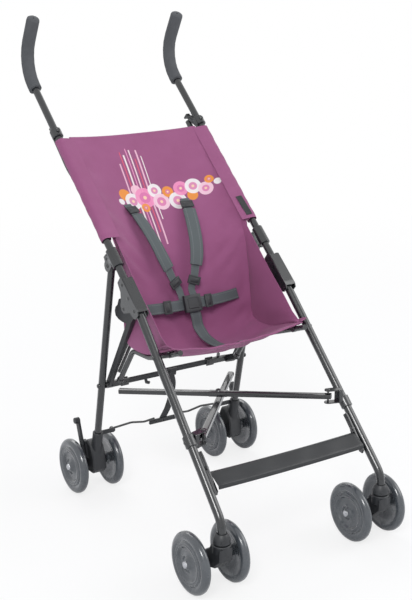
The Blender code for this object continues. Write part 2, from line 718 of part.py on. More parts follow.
def lower_bar(side):
    """Oval bar from one front leg to the opposite seat rail's rear end."""
    step = BAR_STEP if side > 0 else -BAR_STEP
    a = Vector((side * BAR_FRONT[0], BAR_FRONT[1], BAR_FRONT[2] + step))
    b = Vector((-side * BAR_REAR[0], BAR_REAR[1], BAR_REAR[2] + step))
    d = (b - a).normalized()
    flat = d.cross(Vector((0, 0, 1))).normalized()
    bar = sweep([a - d * 0.0065, b + d * 0.0050], slab(BAR_W, BAR_H, 0.0045, 2), flat)
    bore = block(a - d * 0.0010, (d, flat, d.cross(flat)), (0.0150, 2 * BAR_PIN_R + 0.0014, 0.04))
    mid_t = (0 - a.x) / (b.x - a.x)
    mid = a.lerp(b, mid_t)
    adds = [bar]
    if side > 0:
        adds.append(sweep([mid - d * 0.020, mid + d * 0.020], slab(BAR_W + 0.003, BAR_H + 0.0008, 0.005, 2),
                          flat))
        adds.append(dome(mid + Vector((0, 0, BAR_H / 2 + 0.0002)), (0, 0, 1), 0.0070, 0.0050, 12))
    return piece(f"lower_bar_{side_name(side)}", TUBE_GREY, adds, [bore], a)


def crossbar(side):
    """Half of the folding rear crossbar."""
    n = rear_normal()
    down = unit((0, *REAR_PIVOT), (0, *REAR_FOOT))
    step = -STRAP_STEP if side < 0 else STRAP_STEP
    a = at(side, STRAP_PIN_X, CROSS_BAR) + n * step
    b = at(0, 0, CROSS_BAR) + n * step
    x = Vector((side, 0, 0))
    run = [a + x * 0.0065, b - x * 0.0075]
    bar = sweep(run, slab(STRAP_T, STRAP_H, 0.0015, 1), n)
    bore = rod(a - n * 0.02, a + n * 0.02, 0.0030, 10)
    adds = [bar]
    if side < 0:
        hook = [a - x * 0.052 + down * 0.003, a - x * 0.056 + down * 0.016, a - x * 0.064 + down * 0.019]
        adds.append(sweep(hook, slab(STRAP_T, 0.007, 0.001, 1), n))
    return piece(f"crossbar_{side_name(side)}", PLASTIC, adds, [bore], a)


def fold_lever():
    """Centre cover of the crossbar with the release lever and its pedal plate."""
    n = rear_normal()
    down = unit((0, *REAR_PIVOT), (0, *REAR_FOOT))
    x = Vector((1, 0, 0))
    face = -STRAP_STEP - STRAP_T / 2 - GAP
    mid = at(0, 0, CROSS_BAR)
    thick = 0.0030

    def spot(px, v, w):
        return mid + x * px + n * v + down * w

    cover = block(spot(0.0, face - thick / 2, 0.0), (x, n, down), (0.038, thick, 0.019), 0.0008)
    lip = block(spot(0.0, face - thick / 2 - 0.001, -0.0088), (x, n, down), (0.038, 0.0040, 0.0030), 0.0006)
    rivet = dome(spot(0, face - thick, 0), -n, 0.0050, 0.0026, 10)
    bend = [spot(0.004, face - thick / 2, 0.004), spot(0.013, face - thick / 2, 0.030),
            spot(0.013, face - thick / 2, 0.070), spot(0.006, face - thick / 2, 0.100),
            spot(-0.006, face - thick / 2, LEVER_DROP)]
    arm = sweep(rounded(bend, [0.05, 0.05, 0.05], 8.0), slab(thick, 0.016, 0.0), n)
    tray = block(spot(-0.004, face - 0.0032, LEVER_DROP), (x, n, down),
                 (0.074, 0.0060, 0.0115), 0.0015)
    cuts = []
    for px in (-0.026, -0.006):
        cuts.append(rod(spot(px, -0.05, LEVER_DROP), spot(px, 0.05, LEVER_DROP), 0.0030, 10))
    return piece("fold_lever", PLASTIC, [cover, lip, rivet, arm, tray], cuts, spot(0, face, 0))


def brake_rod(side):
    """Thin bent rod between a rear wheel housing and the lever's pedal plate."""
    n = rear_normal()
    down = unit((0, *REAR_PIVOT), (0, *REAR_FOOT))
    mid = at(0, 0, CROSS_BAR) + down * ROD_DROP
    x = Vector((side, 0, 0))
    tip = mid + x * ROD_TIP_X - n * 0.0155
    pin = brake_rod_pin(side)
    bend = mid - n * 0.0155
    pts = [pin, bend + x * 0.095 - down * 0.004, bend + x * 0.060 + down * 0.003, tip]
    rod_mesh = sweep(rounded(pts, [0.03, 0.03], 10.0), circle(ROD_R, 8), (0, 0, 1))
    eye = rod(pts[0] - n * 0.0028, pts[0] + n * 0.0028, 0.0052, 12)
    hole = rod(pts[0] - n * 0.01, pts[0] + n * 0.01, 0.0024, 8)
    return piece(f"brake_rod_{side_name(side)}", TUBE_GREY, [rod_mesh, eye], [hole], pts[0])


# Wheels and their housings

def wheel(side, twin, axle, name):
    """One of a pair of moulded wheels."""
    half = WHEEL_HALF
    out = 1 if twin * side > 0 else -1
    prof = [(half + 0.0012, AXLE_R + 0.0004), (half + 0.0012, 0.0100), (0.0078, 0.0125), (0.0066, 0.0330),
            (0.0100, 0.0365), (0.0100, 0.0440), (0.0084, 0.0465), (0.0098, 0.0535), (0.0062, 0.0613),
            (0.0, WHEEL_R), (-0.0062, 0.0613), (-0.0098, 0.0520), (-0.0066, 0.0440), (-0.0060, 0.0150),
            (-half, 0.0120), (-half, AXLE_R + 0.0004)]
    x = side * (SIDE_X if axle is REAR_AXLE else STEM_X) + twin * TWIN
    origin = Vector((x, *axle))
    mesh = lathe(origin, (twin, 0, 0), prof, WHEEL_SEGMENTS)
    return piece(name, WHEEL_GREY, [mesh], (), origin)


def axle(side, where, name):
    """Axle rod with a round cap at each end."""
    x = side * (SIDE_X if where is REAR_AXLE else STEM_X)
    end = TWIN + WHEEL_HALF + 0.0016
    prof = [(-end - 0.0045, 0), (-end - 0.0042, 0.0040), (-end - 0.0025, 0.0068), (-end, 0.0075),
            (-end, AXLE_R), (end, AXLE_R), (end, 0.0075), (end + 0.0025, 0.0068),
            (end + 0.0042, 0.0040), (end + 0.0045, 0)]
    return piece(name, STEEL, [lathe(Vector((x, *where)), (1, 0, 0), prof, 14)], (), Vector((x, *where)))


def castor_socket(side):
    """Fixed cap at the bottom of the front leg, with its two screws."""
    base = Vector((side * STEM_X, STEM[0], STEM[1]))
    prof = [(-0.0040, 0), (-0.0040, 0.0145), (-0.0010, 0.0175), (0.0080, 0.0170), (0.0165, 0.0125),
            (0.0180, 0.0110), (0.0180, 0)]
    cap = lathe(base, (0, 0, 1), prof, 18)
    cut = rod(base, base + Vector((0, 0, 0.04)), bore_r(LEG_R))
    adds = [cap]
    for angle in (-121, -57):
        d = Vector((math.cos(math.radians(angle)), math.sin(math.radians(angle)), 0))
        adds.append(rod(base + d * 0.012 + Vector((0, 0, 0.0045)), base + d * 0.0182 + Vector((0, 0, 0.0045)),
                        0.0030, 8, 0.0006))
    pin = rod(base - Vector((0, 0, 0.0320)), base - Vector((0, 0, 0.0015)), 0.0040, 12)
    adds.append(pin)
    return piece(f"castor_socket_{side_name(side)}", PLASTIC, adds, [cut])


def castor_block(side):
    """Swivelling block that carries the front axle behind the stem."""
    top = STEM[1] - 0.0040 - 0.0005
    stem = Vector((side * STEM_X, STEM[0], top))
    disc = rod(stem - Vector((0, 0, 0.020)), stem, 0.0185, 18, 0.0015)
    outline = [(STEM[0] - 0.0175, top - 0.004), (STEM[0] - 0.0165, top - 0.030),
               (STEM[0] + 0.006, top - 0.052), (FRONT_AXLE[0] - 0.008, WHEEL_R - 0.013),
               (FRONT_AXLE[0] + 0.004, WHEEL_R - 0.0135), (FRONT_AXLE[0] + 0.013, WHEEL_R - 0.006),
               (FRONT_AXLE[0] + 0.014, WHEEL_R + 0.006), (FRONT_AXLE[0] + 0.002, WHEEL_R + 0.020),
               (STEM[0] + 0.020, top - 0.012), (STEM[0] + 0.0165, top - 0.004)]
    body = plate(outline, stem.x - 0.0150, stem.x + 0.0150, 0.0030)
    hub = rod(Vector((stem.x - 0.0328, *FRONT_AXLE)), Vector((stem.x + 0.0328, *FRONT_AXLE)), 0.0105, 16, 0.0015)
    cuts = [rod(stem - Vector((0, 0, 0.0310)), stem + Vector((0, 0, 0.01)), 0.0043, 12),
            rod(Vector((stem.x - 0.05, *FRONT_AXLE)), Vector((stem.x + 0.05, *FRONT_AXLE)), bore_r(AXLE_R, 12), 12)]
    pivot = Vector((side * STEM_X, *STEM))
    return piece(f"castor_block_{side_name(side)}", PLASTIC, [disc, body, hub], cuts, pivot)


def rear_housing(side):
    """Fixed housing at the rear leg's foot, with axle hub, brake post and rod ear."""
    n = rear_normal()
    x = Vector((side, 0, 0))
    centre_x = side * SIDE_X
    foot = rear_point(0.4574 + 0.006)
    sleeve_a = at(side, SIDE_X, rear_point(0.418))
    sleeve_b = at(side, SIDE_X, rear_point(0.4574 + 0.022))
    sleeve = rod(sleeve_a, sleeve_b, 0.0118, 16, 0.0012)
    y, z = REAR_AXLE
    outline = [(y - 0.040, z + 0.030), (y - 0.045, z - 0.004), (y - 0.034, z - 0.014), (y + 0.002, z - 0.0155),
               (y + 0.014, z - 0.008), (y + 0.015, z + 0.008), (y + 0.008, z + 0.040), (y - 0.002, z + 0.058),
               (y - 0.014, z + 0.060), (y - 0.030, z + 0.052)]
    body = plate(outline, centre_x - 0.0165, centre_x + 0.0165, 0.0030)
    hub = rod(Vector((centre_x - 0.0328, y, z)), Vector((centre_x + 0.0328, y, z)), 0.0110, 16, 0.0015)
    leg_hole = rod(at(side, SIDE_X, rear_point(0.400)), at(side, SIDE_X, rear_point(0.4574 + GAP)),
                   bore_r(REAR_R))
    axle_hole = rod(Vector((centre_x - 0.05, y, z)), Vector((centre_x + 0.05, y, z)), bore_r(AXLE_R, 12), 12)
    pin = brake_rod_pin(side)
    post = rod(pin - n * 0.0075, pin + n * 0.0045, 0.0020, 10)
    arm = sweep([pin - n * 0.0060 + x * 0.036, pin - n * 0.0060 - x * 0.002], slab(0.0040, 0.0110, 0.001, 1), n)
    arm_pad = rod(pin - n * 0.0080, pin - n * 0.0040, 0.0055, 12)
    ear_x = side * (SIDE_X + 0.0205)
    ear = plate([(y - 0.020, z + 0.020), (y + 0.004, z + 0.020), (y + 0.006, z + 0.054), (y - 0.001, z + 0.060),
                 (y - 0.010, z + 0.058)], centre_x + side * 0.014, ear_x)
    adds = [sleeve, body, hub, ear, arm, arm_pad, post]
    return piece(f"rear_housing_{side_name(side)}", PLASTIC, adds, [leg_hole, axle_hole])


def brake_rod_pin(side):
    """Where the brake rod turns on the rear housing."""
    n = rear_normal()
    down = unit((0, *REAR_PIVOT), (0, *REAR_FOOT))
    mid = at(0, 0, CROSS_BAR) + down * ROD_DROP
    return mid + Vector((side * ROD_PIN_X, 0, 0)) - n * 0.0155


def brake_lever(side):
    """Small foot lever that stands up beside the rear housing."""
    y, z = REAR_AXLE
    x0 = side * (SIDE_X + 0.0205 + GAP + 0.0004)
    x1 = x0 + side * 0.0055
    pivot = (y - 0.003, z + 0.050)
    tip = (pivot[0] + 0.018, pivot[1] + 0.052)
    arm = plate(stadium(pivot, tip, 0.0068), x0, x1, 0.0008)
    pad = rod(Vector((x0 - side * 0.0008, *tip)), Vector((x1 + side * 0.0060, *tip)), 0.0072, 12, 0.001)
    head = dome(Vector((x1, *pivot)), (side, 0, 0), 0.0040, 0.0020, 8)
    shoe_end = (pivot[0] - 0.004, pivot[1] - 0.020)
    shoe = plate(stadium(pivot, shoe_end, 0.0045), x0, x1, 0.0)
    return piece(f"brake_lever_{side_name(side)}", PLASTIC, [arm, pad, head, shoe], (),
                 Vector((side * SIDE_X, *pivot)))


# Footrest

def footrest_bracket(side):
    """Side plate under the front leg that carries the footrest's end."""
    run = leg_run(side)
    here = leg_at(side, 0.2230)
    inner = Vector((-side, 0, 0))
    upper = leg_at(side, 0.2500)
    lower = leg_at(side, 0.1960)
    x_in = side * (FOOT_HALF + GAP)
    x_out = side * (FOOT_HALF + 0.0036)
    outline = [(upper.y + 0.012, upper.z + 0.003), (upper.y + 0.004, upper.z + 0.010),
               (upper.y - 0.004, upper.z + 0.004), (lower.y - 0.004, lower.z + 0.002),
               (lower.y - 0.001, lower.z - 0.007), (lower.y + 0.008, lower.z - 0.006),
               (FOOT_REAR[0] + 0.008, FOOT_REAR[1] - 0.004), (FOOT_REAR[0] + 0.012, FOOT_REAR[1] + 0.004)]
    wall = plate(outline, x_in, x_out)
    spots = [leg_at(side, 0.2320)]
    adds = [wall]
    for p in spots:
        adds.append(rod(Vector((x_out - side * 0.001, p.y, p.z)),
                        Vector((p.x - side * (LEG_R + GAP), p.y, p.z)), 0.0040, 10))
        adds.append(dome(Vector((x_in, p.y, p.z)), (-side, 0, 0), 0.0045, 0.0024, 10))
    return piece(f"footrest_bracket_{side_name(side)}", TUBE_GREY, adds)


def footrest():
    """Flexible foot strip stretched between the two brackets."""
    a = Vector((0, *FOOT_REAR))
    b = Vector((0, *FOOT_FRONT))
    across = (b - a).normalized()
    n = across.cross(Vector((1, 0, 0))).normalized()
    n = n if n.z > 0 else -n
    width = (b - a).length
    centre = (a + b) / 2
    rows = []
    for k in range(9):
        x = -FOOT_HALF + 2 * FOOT_HALF * k / 8
        dip = 0.0022 * (1 - (x / FOOT_HALF) ** 2)
        rows.append(centre + Vector((x, 0, -dip)))
    section = [(-width / 2, -0.0006), (-width / 2 - 0.0008, FOOT_T), (-width / 2 + 0.003, FOOT_T + 0.0012),
               (width / 2 - 0.003, FOOT_T + 0.0012), (width / 2 + 0.0008, FOOT_T), (width / 2, -0.0060),
               (width / 2 - 0.003, -0.0060), (width / 2 - 0.003, -0.0006)]
    section = [(p[0], p[1] - 0.002) for p in section]
    return piece("footrest", STRIP, [sweep(rows, section, across)])


# Seat sling and harness

SLING_ROWS = (
    # edge y, edge z, centre y, centre z
    (0.3600, 0.7930, 0.3640, 0.7870),
    (0.3080, 0.7470, 0.3210, 0.7330),
    (0.2500, 0.6960, 0.2720, 0.6680),
    (0.1930, 0.6460, 0.2230, 0.6050),
    (0.1560, 0.6060, 0.1900, 0.5520),
    (0.1440, 0.5600, 0.1700, 0.5000),
    (0.1360, 0.5050, 0.1540, 0.4500),
    (0.1270, 0.4400, 0.1370, 0.4050),
    (0.1210, 0.3990, 0.1160, 0.3720),
    (0.0960, 0.3860, 0.0840, 0.3560),
    (0.0420, 0.3880, 0.0340, 0.3580),
    (-0.0100, 0.4062, -0.0130, 0.3780),
    (-0.0620, 0.4255, -0.0560, 0.4050),
)


def sling_point(row, u):
    """Point on the sling's under surface; u runs from -1 (left) to +1 (right)."""
    i = min(int(row), len(SLING_ROWS) - 2)
    f = row - i
    a, b = SLING_ROWS[i], SLING_ROWS[i + 1]
    ey, ez, cy, cz = (p + (q - p) * f for p, q in zip(a, b))
    w = 1 - abs(u) ** 2.4
    return Vector((u * SLING_HALF, ey + (cy - ey) * w, ez + (cz - ez) * w))


def sling_normal(row, u):
    """Direction out of the sling towards the child."""
    e = 0.02
    r0, r1 = max(0, row - e), min(len(SLING_ROWS) - 1.001, row + e)
    along = sling_point(r1, u) - sling_point(r0, u)
    across = sling_point(row, u + e) - sling_point(row, u - e)
    return across.cross(along).normalized() * -1


def sheet(grid, thick, normals):
    """Closed thin solid over a grid of points."""
    bm = bmesh.new()
    low = [[bm.verts.new(p) for p in row] for row in grid]
    high = [[bm.verts.new(p + n * thick) for p, n in zip(row, nrow)] for row, nrow in zip(grid, normals)]
    m, n = len(grid), len(grid[0])
    for i in range(m - 1):
        for j in range(n - 1):
            bm.faces.new((low[i][j], low[i][j + 1], low[i + 1][j + 1], low[i + 1][j]))
            bm.faces.new((high[i][j], high[i + 1][j], high[i + 1][j + 1], high[i][j + 1]))
    for i in range(m - 1):
        for j in (0, n - 1):
            bm.faces.new((low[i][j], low[i + 1][j], high[i + 1][j], high[i][j]))
    for j in range(n - 1):
        for i in (0, m - 1):
            bm.faces.new((low[i][j], low[i][j + 1], high[i][j + 1], high[i][j]))
    return solid(bm)


def sleeve(side):
    """Sewn sleeve that wraps the push tube's upper part."""
    lo, hi = 0.158, 0.437
    outer = rod(at(side, SIDE_X, push_point(lo)), at(side, SIDE_X, push_point(hi)),
                PUSH_R + GAP + 0.0020, 18)
    return outer


def seat_sling():
    """Cloth seat: back, deep seat and side walls, sewn round the push tubes."""
    us = [-1, -0.94, -0.8, -0.6, -0.35, -0.12, 0.12, 0.35, 0.6, 0.8, 0.94, 1]
    rows = [k * 0.5 for k in range(2 * (len(SLING_ROWS) - 1) + 1)]
    rows[-1] -= 0.0005
    grid = [[sling_point(r, u) for u in us] for r in rows]
    normals = [[sling_normal(r, u) for u in us] for r in rows]
    adds = [sheet(grid, CLOTH_T, normals)]
    cuts = []
    for side in (-1, 1):
        adds.append(sleeve(side))
        lo, hi = 0.140, 0.455
        cuts.append(rod(at(side, SIDE_X, push_point(lo)), at(side, SIDE_X, push_point(hi)),
                        bore_r(PUSH_R)))
        adds.append(side_tie(side))
        adds.append(side_wall(side))
    return piece("seat_sling", CLOTH, adds, cuts)


def side_tie(side):
    """Strip of cloth from the back's edge to the sleeve."""
    rows = []
    for k in range(8):
        s = 0.160 + (0.435 - 0.160) * k / 7
        y, z = push_point(s)
        rows.append([Vector((side * (SLING_HALF - 0.0015), y + 0.002, z + 0.004)),
                     Vector((side * (SIDE_X - PUSH_R), y, z + 0.0035))])
    n = Vector((0, -math.sin(PUSH_ANGLE), math.cos(PUSH_ANGLE)))
    normals = [[n, n] for _ in rows]
    return sheet(rows, CLOTH_T, normals)


def side_wall(side):
    """Cloth wall from the push tube and leg down to the seat's edge."""
    top = [push_point(0.172, -0.002), push_point(0.120, 0.000), push_point(0.070, 0.001),
           push_point(0.020, 0.002), (0.000, 0.470), (-0.030, 0.442), (-0.060, 0.425)]
    low = [(0.1440, 0.5600), (0.1360, 0.5050), (0.1270, 0.4400), (0.1200, 0.3975),
           (0.0700, 0.3860), (0.0050, 0.3985), (-0.0600, 0.4215)]
    top_side = [Vector((side * WALL_X, y, z)) for y, z in top]
    mid_side = [Vector((side * (WALL_X - 0.0035), (a[0] + b[0]) / 2, (a[1] + b[1]) / 2)) for a, b in zip(top, low)]
    low_side = [Vector((side * (WALL_X - 0.0010), y, z)) for y, z in low]
    inward = Vector((-side, 0, 0))
    grid = [top_side, mid_side, low_side]
    normals = [[inward] * len(top) for _ in grid]
    return sheet(grid, CLOTH_T, normals)


def strap(points, normals, width, thick):
    """Flat strap along points that lie on a surface."""
    bm = bmesh.new()
    rings = []
    for i, (p, n) in enumerate(zip(points, normals)):
        d = points[min(i + 1, len(points) - 1)] - points[max(i - 1, 0)]
        side_dir = d.cross(n).normalized()
        ring = []
        for a, b in ((-1, 0), (1, 0), (1, 1), (-1, 1)):
            ring.append(bm.verts.new(p + side_dir * (a * width[i] / 2) + n * (b * thick)))
        rings.append(ring)
    for a, b in zip(rings, rings[1:]):
        for k in range(4):
            bm.faces.new((a[k], a[(k + 1) % 4], b[(k + 1) % 4], b[k]))
    bm.faces.new(rings[0])
    bm.faces.new(rings[-1])
    return solid(bm)


def lift_point(row, u, lift):
    """Point above the sling's upper face."""
    return sling_point(row, u) + sling_normal(row, u) * (CLOTH_T + lift)


def shoulder_strap(side):
    """Shoulder strap with its pad and adjuster."""
    u0 = -0.52 if side < 0 else 0.40
    u1 = -0.10 if side < 0 else 0.10
    stops = [2.30, 2.7, 3.2, 3.8, 4.3, 4.7, 5.2, 5.6]
    pts, nrm = [], []
    for k, r in enumerate(stops):
        f = k / (len(stops) - 1)
        u = u0 + (u1 - u0) * f ** 1.3
        rise = STRAP_REST + 0.012 * math.sin(math.pi * f) + 0.012 * f
        pts.append(lift_point(r, u, rise))
        nrm.append(sling_normal(r, u))
    web = strap(pts, nrm, [0.020] * len(pts), 0.0018)
    pad = strap([p - n * 0.0009 for p, n in zip(pts[1:6], nrm[1:6])], nrm[1:6], [0.030] * 5, 0.0060)
    clip = strap([pts[0].lerp(pts[1], f) - nrm[0] * 0.0013 for f in (0.20, 0.83)],
                 [nrm[0], nrm[0]], [0.0325] * 2, 0.0080)
    return piece(f"shoulder_strap_{side_name(side)}", WEBBING, [web, pad, clip])


def harness_out():
    """Direction that the waist strap and the buckle face."""
    return Vector((0, -1, 0.35)).normalized()


def waist_point(u):
    """Middle line of the waist strap's back face."""
    f = 1 - (u / 0.84) ** 2
    return lift_point(WAIST_ROW + 0.35 * (1 - f), u, STRAP_REST + WAIST_RISE * f)


def waist_strap():
    """Waist strap across the seat, passing behind the buckle."""
    us = [-0.84, -0.68, -0.45, -0.22, 0.0, 0.22, 0.45, 0.66, 0.80]
    pts, nrm = [], []
    for u in us:
        pts.append(waist_point(u))
        nrm.append(harness_out())
    return piece("waist_strap", WEBBING, [strap(pts, nrm, [0.026] * len(pts), BAND_T)])


def harness_buckle():
    """Buckle body where the five straps meet."""
    n = harness_out()
    c = waist_point(0.0) + n * (BAND_T + GAP + BUCKLE_T / 2)
    x = Vector((1, 0, 0))
    up = n.cross(x)
    base = block(c, (x, up, n), (0.050, 0.044, BUCKLE_T), 0.0030)
    button = block(c + n * (BUCKLE_T / 2 + 0.0005), (x, up, n), (0.024, 0.020, 0.0040), 0.0012)
    return piece("harness_buckle", PLASTIC, [base, button])


def crotch_strap():
    """Strap from the buckle down and forward to the seat's front."""
    stops = [(7.5, 0.020), (8.3, 0.022), (9.0, 0.018), (9.8, 0.012), (10.6, 0.006), (11.4, 0.0012), (11.8, 0.0010)]
    pts = [lift_point(r, 0.03 + 0.02 * k, h) for k, (r, h) in enumerate(stops)]
    nrm = [sling_normal(r, 0.03) for r, _ in stops]
    return piece("crotch_strap", WEBBING, [strap(pts, nrm, [0.030] * len(pts), BAND_T)])


def build():
    """Builds every node."""
    clear_scene()
    for side in (-1, 1):
        tag = side_name(side)
        for maker in (push_tube, grip, top_connector, pivot_collar, knee_bracket, front_leg, rear_leg,
                      side_link, seat_rail, rear_bracket, front_bracket, rear_brace, lower_bar,
                      crossbar, brake_rod, castor_socket, castor_block, rear_housing, brake_lever,
                      footrest_bracket, shoulder_strap):
            maker(side)
        axle(side, REAR_AXLE, f"rear_axle_{tag}")
        axle(side, FRONT_AXLE, f"front_axle_{tag}")
        for twin, word in ((side, "outer"), (-side, "inner")):
            wheel(side, twin, REAR_AXLE, f"rear_wheel_{tag}_{word}")
            wheel(side, twin, FRONT_AXLE, f"front_wheel_{tag}_{word}")
    fold_lever()
    footrest()
    seat_sling()
    waist_strap()
    harness_buckle()
    crotch_strap()


build()
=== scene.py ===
import json
import logging
import math
from dataclasses import dataclass, field
from enum import Enum
from functools import cache, partialmethod
from typing import Sequence, Union

import bmesh
import bpy
from mathutils import Matrix, Vector


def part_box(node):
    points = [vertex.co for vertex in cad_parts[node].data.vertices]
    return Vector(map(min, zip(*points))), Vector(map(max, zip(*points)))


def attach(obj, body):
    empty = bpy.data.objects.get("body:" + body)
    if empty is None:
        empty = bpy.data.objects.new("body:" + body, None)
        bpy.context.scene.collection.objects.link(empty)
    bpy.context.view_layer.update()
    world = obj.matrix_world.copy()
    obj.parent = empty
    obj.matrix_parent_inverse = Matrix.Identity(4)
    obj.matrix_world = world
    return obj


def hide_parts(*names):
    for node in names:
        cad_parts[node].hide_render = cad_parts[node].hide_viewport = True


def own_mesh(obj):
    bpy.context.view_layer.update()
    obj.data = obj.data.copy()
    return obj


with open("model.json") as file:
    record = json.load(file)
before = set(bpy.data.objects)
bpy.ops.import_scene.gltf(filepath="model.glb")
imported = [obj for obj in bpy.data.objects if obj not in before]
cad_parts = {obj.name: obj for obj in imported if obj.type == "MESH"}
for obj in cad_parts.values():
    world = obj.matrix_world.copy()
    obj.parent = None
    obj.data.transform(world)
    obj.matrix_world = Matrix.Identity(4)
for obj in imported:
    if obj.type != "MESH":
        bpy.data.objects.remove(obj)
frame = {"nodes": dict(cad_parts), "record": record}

LOG = logging.getLogger("stroller")
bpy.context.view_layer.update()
Value = Union["Term", int, float]
Piece = bpy.types.Object
Socket = bpy.types.NodeSocket

# Sizes that several pieces share
DEPTH_SHIFT = 0.102
FRAME_X = 0.187
SKIN = 0.0014
WELD = 0.00002
SIDES = ((-1, "l"), (1, "r"))

# Colours of the print
ORANGE = (0.78, 0.28, 0.04)
WHITE = (0.80, 0.76, 0.76)
ROSE = (0.78, 0.26, 0.46)
BLUSH = (0.82, 0.54, 0.64)
PALE_PINK = (0.82, 0.50, 0.60)
STRIPE_PINK = (0.80, 0.48, 0.60)
STRIPE_RED = (0.70, 0.09, 0.14)
STRIPE_WHITE = (0.84, 0.78, 0.76)
STRIPE_ROSE = (0.78, 0.30, 0.50)
STRIPE_BLUSH = (0.84, 0.70, 0.72)


# Shader maths

def feed(tree: bpy.types.NodeTree, socket: Socket, value: object) -> None:
    """Links a term or a socket to an input, or sets a plain value or colour there.

    Args:
        tree: the node tree.
        socket: the input.
        value: a term, a socket, a number or a colour.
    """
    value = getattr(value, "socket", value)
    if isinstance(value, Socket):
        tree.links.new(value, socket)
    elif isinstance(value, tuple) and len(value) == 3:
        socket.default_value = (*value, 1.0)
    else:
        socket.default_value = value


class Term:
    """A number that a shader node gives, with the usual operators."""

    def __init__(self, tree: bpy.types.NodeTree, socket: Socket) -> None:
        """Keeps the node tree and the socket that holds the number."""
        self.tree = tree
        self.socket = socket

    def _math(self, operation: str, *others: Value) -> "Term":
        """Adds one Math node.

        Args:
            operation: the node's operation.
            others: the further inputs, as terms or plain numbers.

        Returns:
            The node's result.
        """
        node = self.tree.nodes.new("ShaderNodeMath")
        node.operation = operation
        for place, item in enumerate((self, *others)):
            feed(self.tree, node.inputs[place], item)
        return Term(self.tree, node.outputs[0])

    __add__ = __radd__ = partialmethod(_math, "ADD")
    __sub__ = partialmethod(_math, "SUBTRACT")
    __mul__ = partialmethod(_math, "MULTIPLY")
    __pow__ = partialmethod(_math, "POWER")
    sine = partialmethod(_math, "SINE")
    size = partialmethod(_math, "ABSOLUTE")
    below = partialmethod(_math, "LESS_THAN")
    above = partialmethod(_math, "GREATER_THAN")
    larger = partialmethod(_math, "MAXIMUM")

    def soft(self, low: float, high: float) -> "Term":
        """Smooth step.

        Args:
            low: where it leaves 0.
            high: where it reaches 1.

        Returns:
            The step of this term.
        """
        node = self.tree.nodes.new("ShaderNodeMapRange")
        node.interpolation_type = "SMOOTHSTEP"
        self.tree.links.new(self.socket, node.inputs[0])
        node.inputs[1].default_value = low
        node.inputs[2].default_value = high
        return Term(self.tree, node.outputs[0])


class Shade:
    """One material under construction."""

    def __init__(self, name: str, rough: float, metal: float = 0.0) -> None:
        """Starts a Principled surface.

        Args:
            name: the material's name.
            rough: its roughness.
            metal: 1 for bare metal.
        """
        self.material = bpy.data.materials.new(name)
        self.material.use_nodes = True
        self.tree = self.material.node_tree
        self.shader = self.tree.nodes["Principled BSDF"]
        self.shader.inputs["Roughness"].default_value = rough
        self.shader.inputs["Metallic"].default_value = metal

    def node(self, kind: str, **sockets: object) -> bpy.types.Node:
        """Adds any node.

        Args:
            kind: the node's type name.
            sockets: values or links, named as the sockets are with _ for a space.

        Returns:
            The node.
        """
        node = self.tree.nodes.new(kind)
        for key, value in sockets.items():
            feed(self.tree, node.inputs[key.replace("_", " ")], value)
        return node

    def place(self, uv: bool = False) -> Socket:
        """Where a point lies, in object space or on the piece's own UV map."""
        return self.node("ShaderNodeTexCoord").outputs["UV" if uv else "Object"]

    def axes(self, uv: bool = False) -> tuple[Term, Term, Term]:
        """The three coordinates as separate terms."""
        parts = self.node("ShaderNodeSeparateXYZ", Vector=self.place(uv))
        return tuple(Term(self.tree, parts.outputs[k]) for k in range(3))

    def noise(self, scale: float, detail: float = 2.0, uv: bool = False) -> Term:
        """Soft random pattern between 0 and 1."""
        made = self.node("ShaderNodeTexNoise", Vector=self.place(uv), Scale=scale, Detail=detail)
        return Term(self.tree, made.outputs[0])

    def blend(self, mask: Union[Term, float], low: object, high: object) -> Socket:
        """Mixes two colours.

        Args:
            mask: 0 gives low and 1 gives high.
            low: a colour or a colour socket.
            high: a colour or a colour socket.

        Returns:
            The mixed colour's socket.
        """
        mix = self.tree.nodes.new("ShaderNodeMix")
        mix.data_type = "RGBA"
        for place, value in ((0, mask), (6, low), (7, high)):
            feed(self.tree, mix.inputs[place], value)
        return mix.outputs[2]

    def coat(self, weight: float, rough: float) -> None:
        """Lays a clear coat over the surface."""
        self.shader.inputs["Coat Weight"].default_value = weight
        self.shader.inputs["Coat Roughness"].default_value = rough

    def colour(self, value: object) -> None:
        """Sets or links the surface colour."""
        feed(self.tree, self.shader.inputs["Base Color"], value)

    def roughness(self, value: Term) -> None:
        """Links the roughness."""
        feed(self.tree, self.shader.inputs["Roughness"], value)

    def bump(self, height: Term, strength: float, distance: float) -> None:
        """Raises the surface by a height."""
        made = self.node("ShaderNodeBump", Strength=strength, Distance=distance, Height=height)
        self.tree.links.new(made.outputs[0], self.shader.inputs["Normal"])


# Finishes

@dataclass(frozen=True)
class HardSurface:
    """Coated or moulded surface with a broad and a fine mottle.

    Each pattern is a noise's scale and detail. Each mix is how far the broad and the fine pattern count.
    """

    name: str
    dark: tuple
    light: tuple
    rough: float
    broad: tuple
    fine: tuple
    tone_mix: tuple
    rough_mix: tuple
    relief: tuple
    coat: tuple = (0.0, 0.0)

    def build(self) -> bpy.types.Material:
        """Makes the mottle, the grain and the coat.

        Returns:
            The material.
        """
        shade = Shade(self.name, self.rough)
        broad, fine = shade.noise(*self.broad), shade.noise(*self.fine)
        shade.colour(shade.blend(broad * self.tone_mix[0] + fine * self.tone_mix[1], self.dark, self.light))
        shade.roughness(self.rough + broad * self.rough_mix[0] + fine * self.rough_mix[1])
        shade.bump(fine, *self.relief)
        if self.coat[0]:
            shade.coat(*self.coat)
        return shade.material


